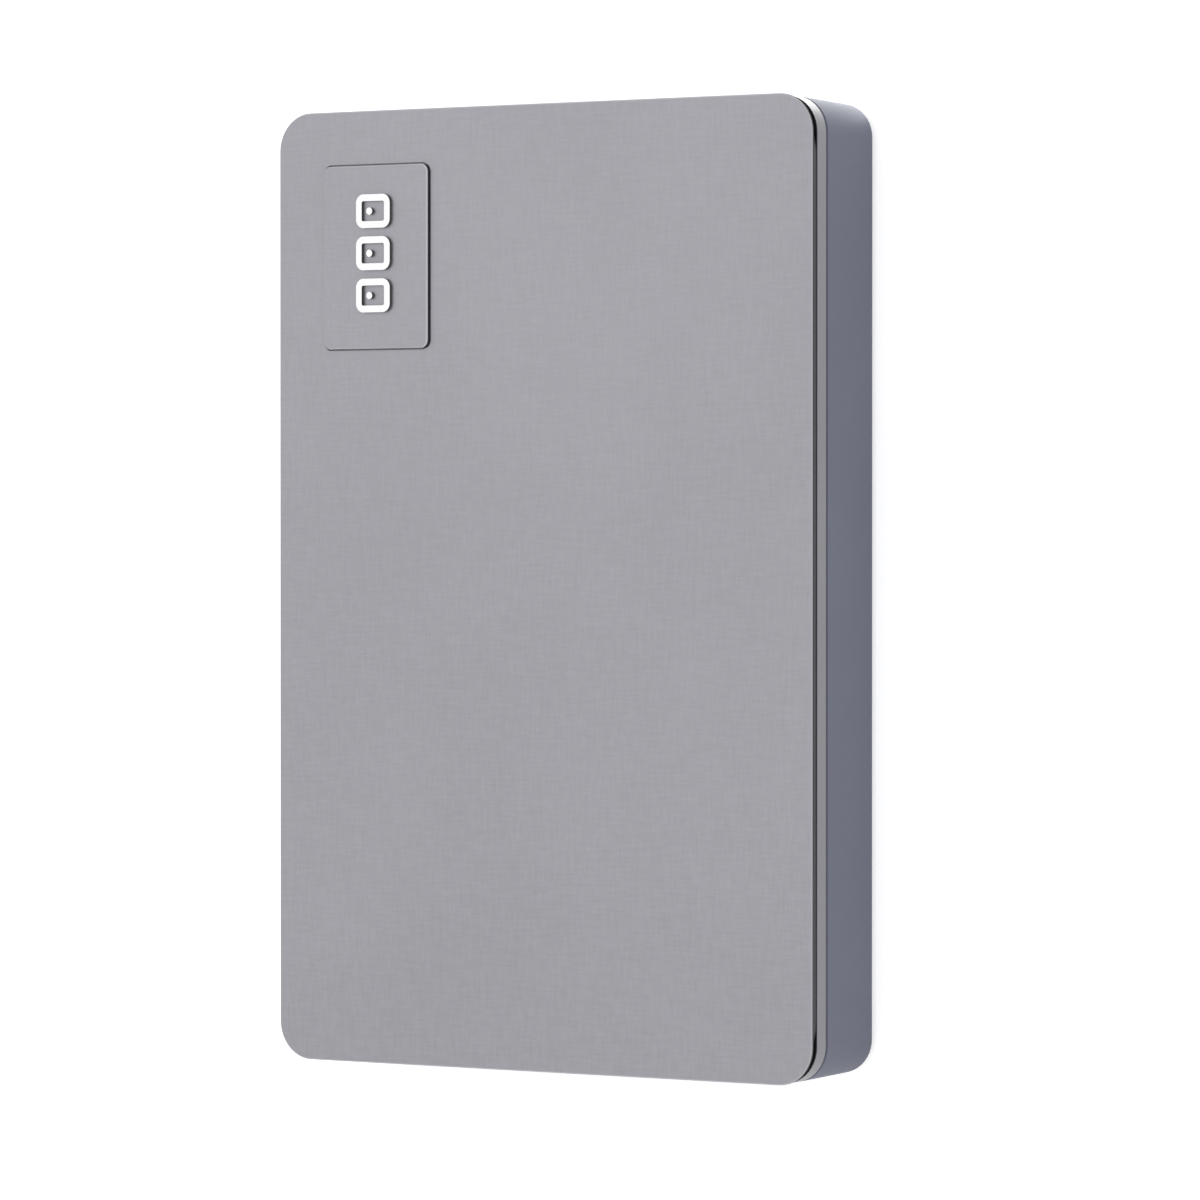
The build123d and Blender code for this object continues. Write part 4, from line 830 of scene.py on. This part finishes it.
# %% The dome, the overhead panel and the strip
DOME_STRENGTH = 1.0
OVERHEAD_WATTS = 2.6
OVERHEAD_SIDE = 1.2
OVERHEAD_PLACE = Vector((-0.75, 0.45, 1.10))
STRIP_WATTS = 0.066
STRIP_MARGIN = 1.5 * MM
STRIP_UNDER_END = 1.7 * MM
STRIP_HEIGHT = 0.1 * MM
STRIP_COLOUR = (1.0, 0.99, 0.96)
UPWARD = Vector((0.0, 0.0, 1.0))
FACE_PIECES = ("face_plate", "tag_tile", "tag_marks", "plate_carrier")


def end_strip():
    """A lit strip on the table, close to the end of the case that is up in the picture."""
    side = cad_high.x - cad_low.x + 2.0 * STRIP_MARGIN
    middle_y = cad_high.y - STRIP_UNDER_END + side / 2.0
    place = Vector((0.0, middle_y, cad_low.z + STRIP_HEIGHT))
    return soft_panel("end_strip", place, UPWARD, side, STRIP_WATTS, STRIP_COLOUR)


white_dome(DOME_STRENGTH)
soft_panel(
    "overhead_panel", OVERHEAD_PLACE, -OVERHEAD_PLACE, OVERHEAD_SIDE, OVERHEAD_WATTS, WHITE_LIGHT)
face_pieces = [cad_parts[name] for name in FACE_PIECES]
keep_off(end_strip(), [floor] + face_pieces)
bpy.context.scene.view_settings.view_transform = "Standard"
print("dome, overhead panel and strip are lit")

# %% [markdown]
# ## The camera
# The photograph was taken with a long lens, from a third of the way round to one long side, with
# the drive's far end up in the picture. A camera that tracks a target keeps the world's up
# direction, and that would turn this picture on its side, because here we look almost straight
# down. So the camera's three axes are worked out from the viewing angles and set as a matrix.

# %% Camera at the photograph's angle
LENS = 192.0
SENSOR = 36.0
VIEW_SIDEWAYS = math.radians(33.01)
VIEW_ENDWAYS = math.radians(0.662)
VIEW_DISTANCE = 0.7793
VIEW_REACH = 20.0
AIM_X = 8.968 * MM
AIM_Y = -1.392 * MM
LENGTHWAYS = Vector((0.0, 1.0, 0.0))


def photo_camera():
    """A camera that looks at the face plate, with the drive's length upright in the picture."""
    lens = bpy.data.cameras.new("photo_camera")
    lens.lens = LENS
    lens.sensor_width = SENSOR
    lens.clip_end = VIEW_REACH
    camera = bpy.data.objects.new("photo_camera", lens)
    back = Vector((
        math.sin(VIEW_SIDEWAYS) * math.cos(VIEW_ENDWAYS),
        math.sin(VIEW_ENDWAYS),
        math.cos(VIEW_SIDEWAYS) * math.cos(VIEW_ENDWAYS)))
    right = LENGTHWAYS.cross(back).normalized()
    up = back.cross(right)
    aim = Vector((AIM_X, AIM_Y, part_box("face_plate")[1].z))
    turn = Matrix((right, up, back)).transposed().to_4x4()
    camera.matrix_world = Matrix.Translation(aim + back * VIEW_DISTANCE) @ turn
    bpy.context.scene.collection.objects.link(camera)
    bpy.context.scene.camera = camera
    return camera


camera = photo_camera()
print("camera at", [round(value, 3) for value in camera.matrix_world.translation], "m")

# %% [markdown]
# ## The end
# The finishes must not have changed the object's size.

# %% Close the frame
print("finishes, light and camera are set")
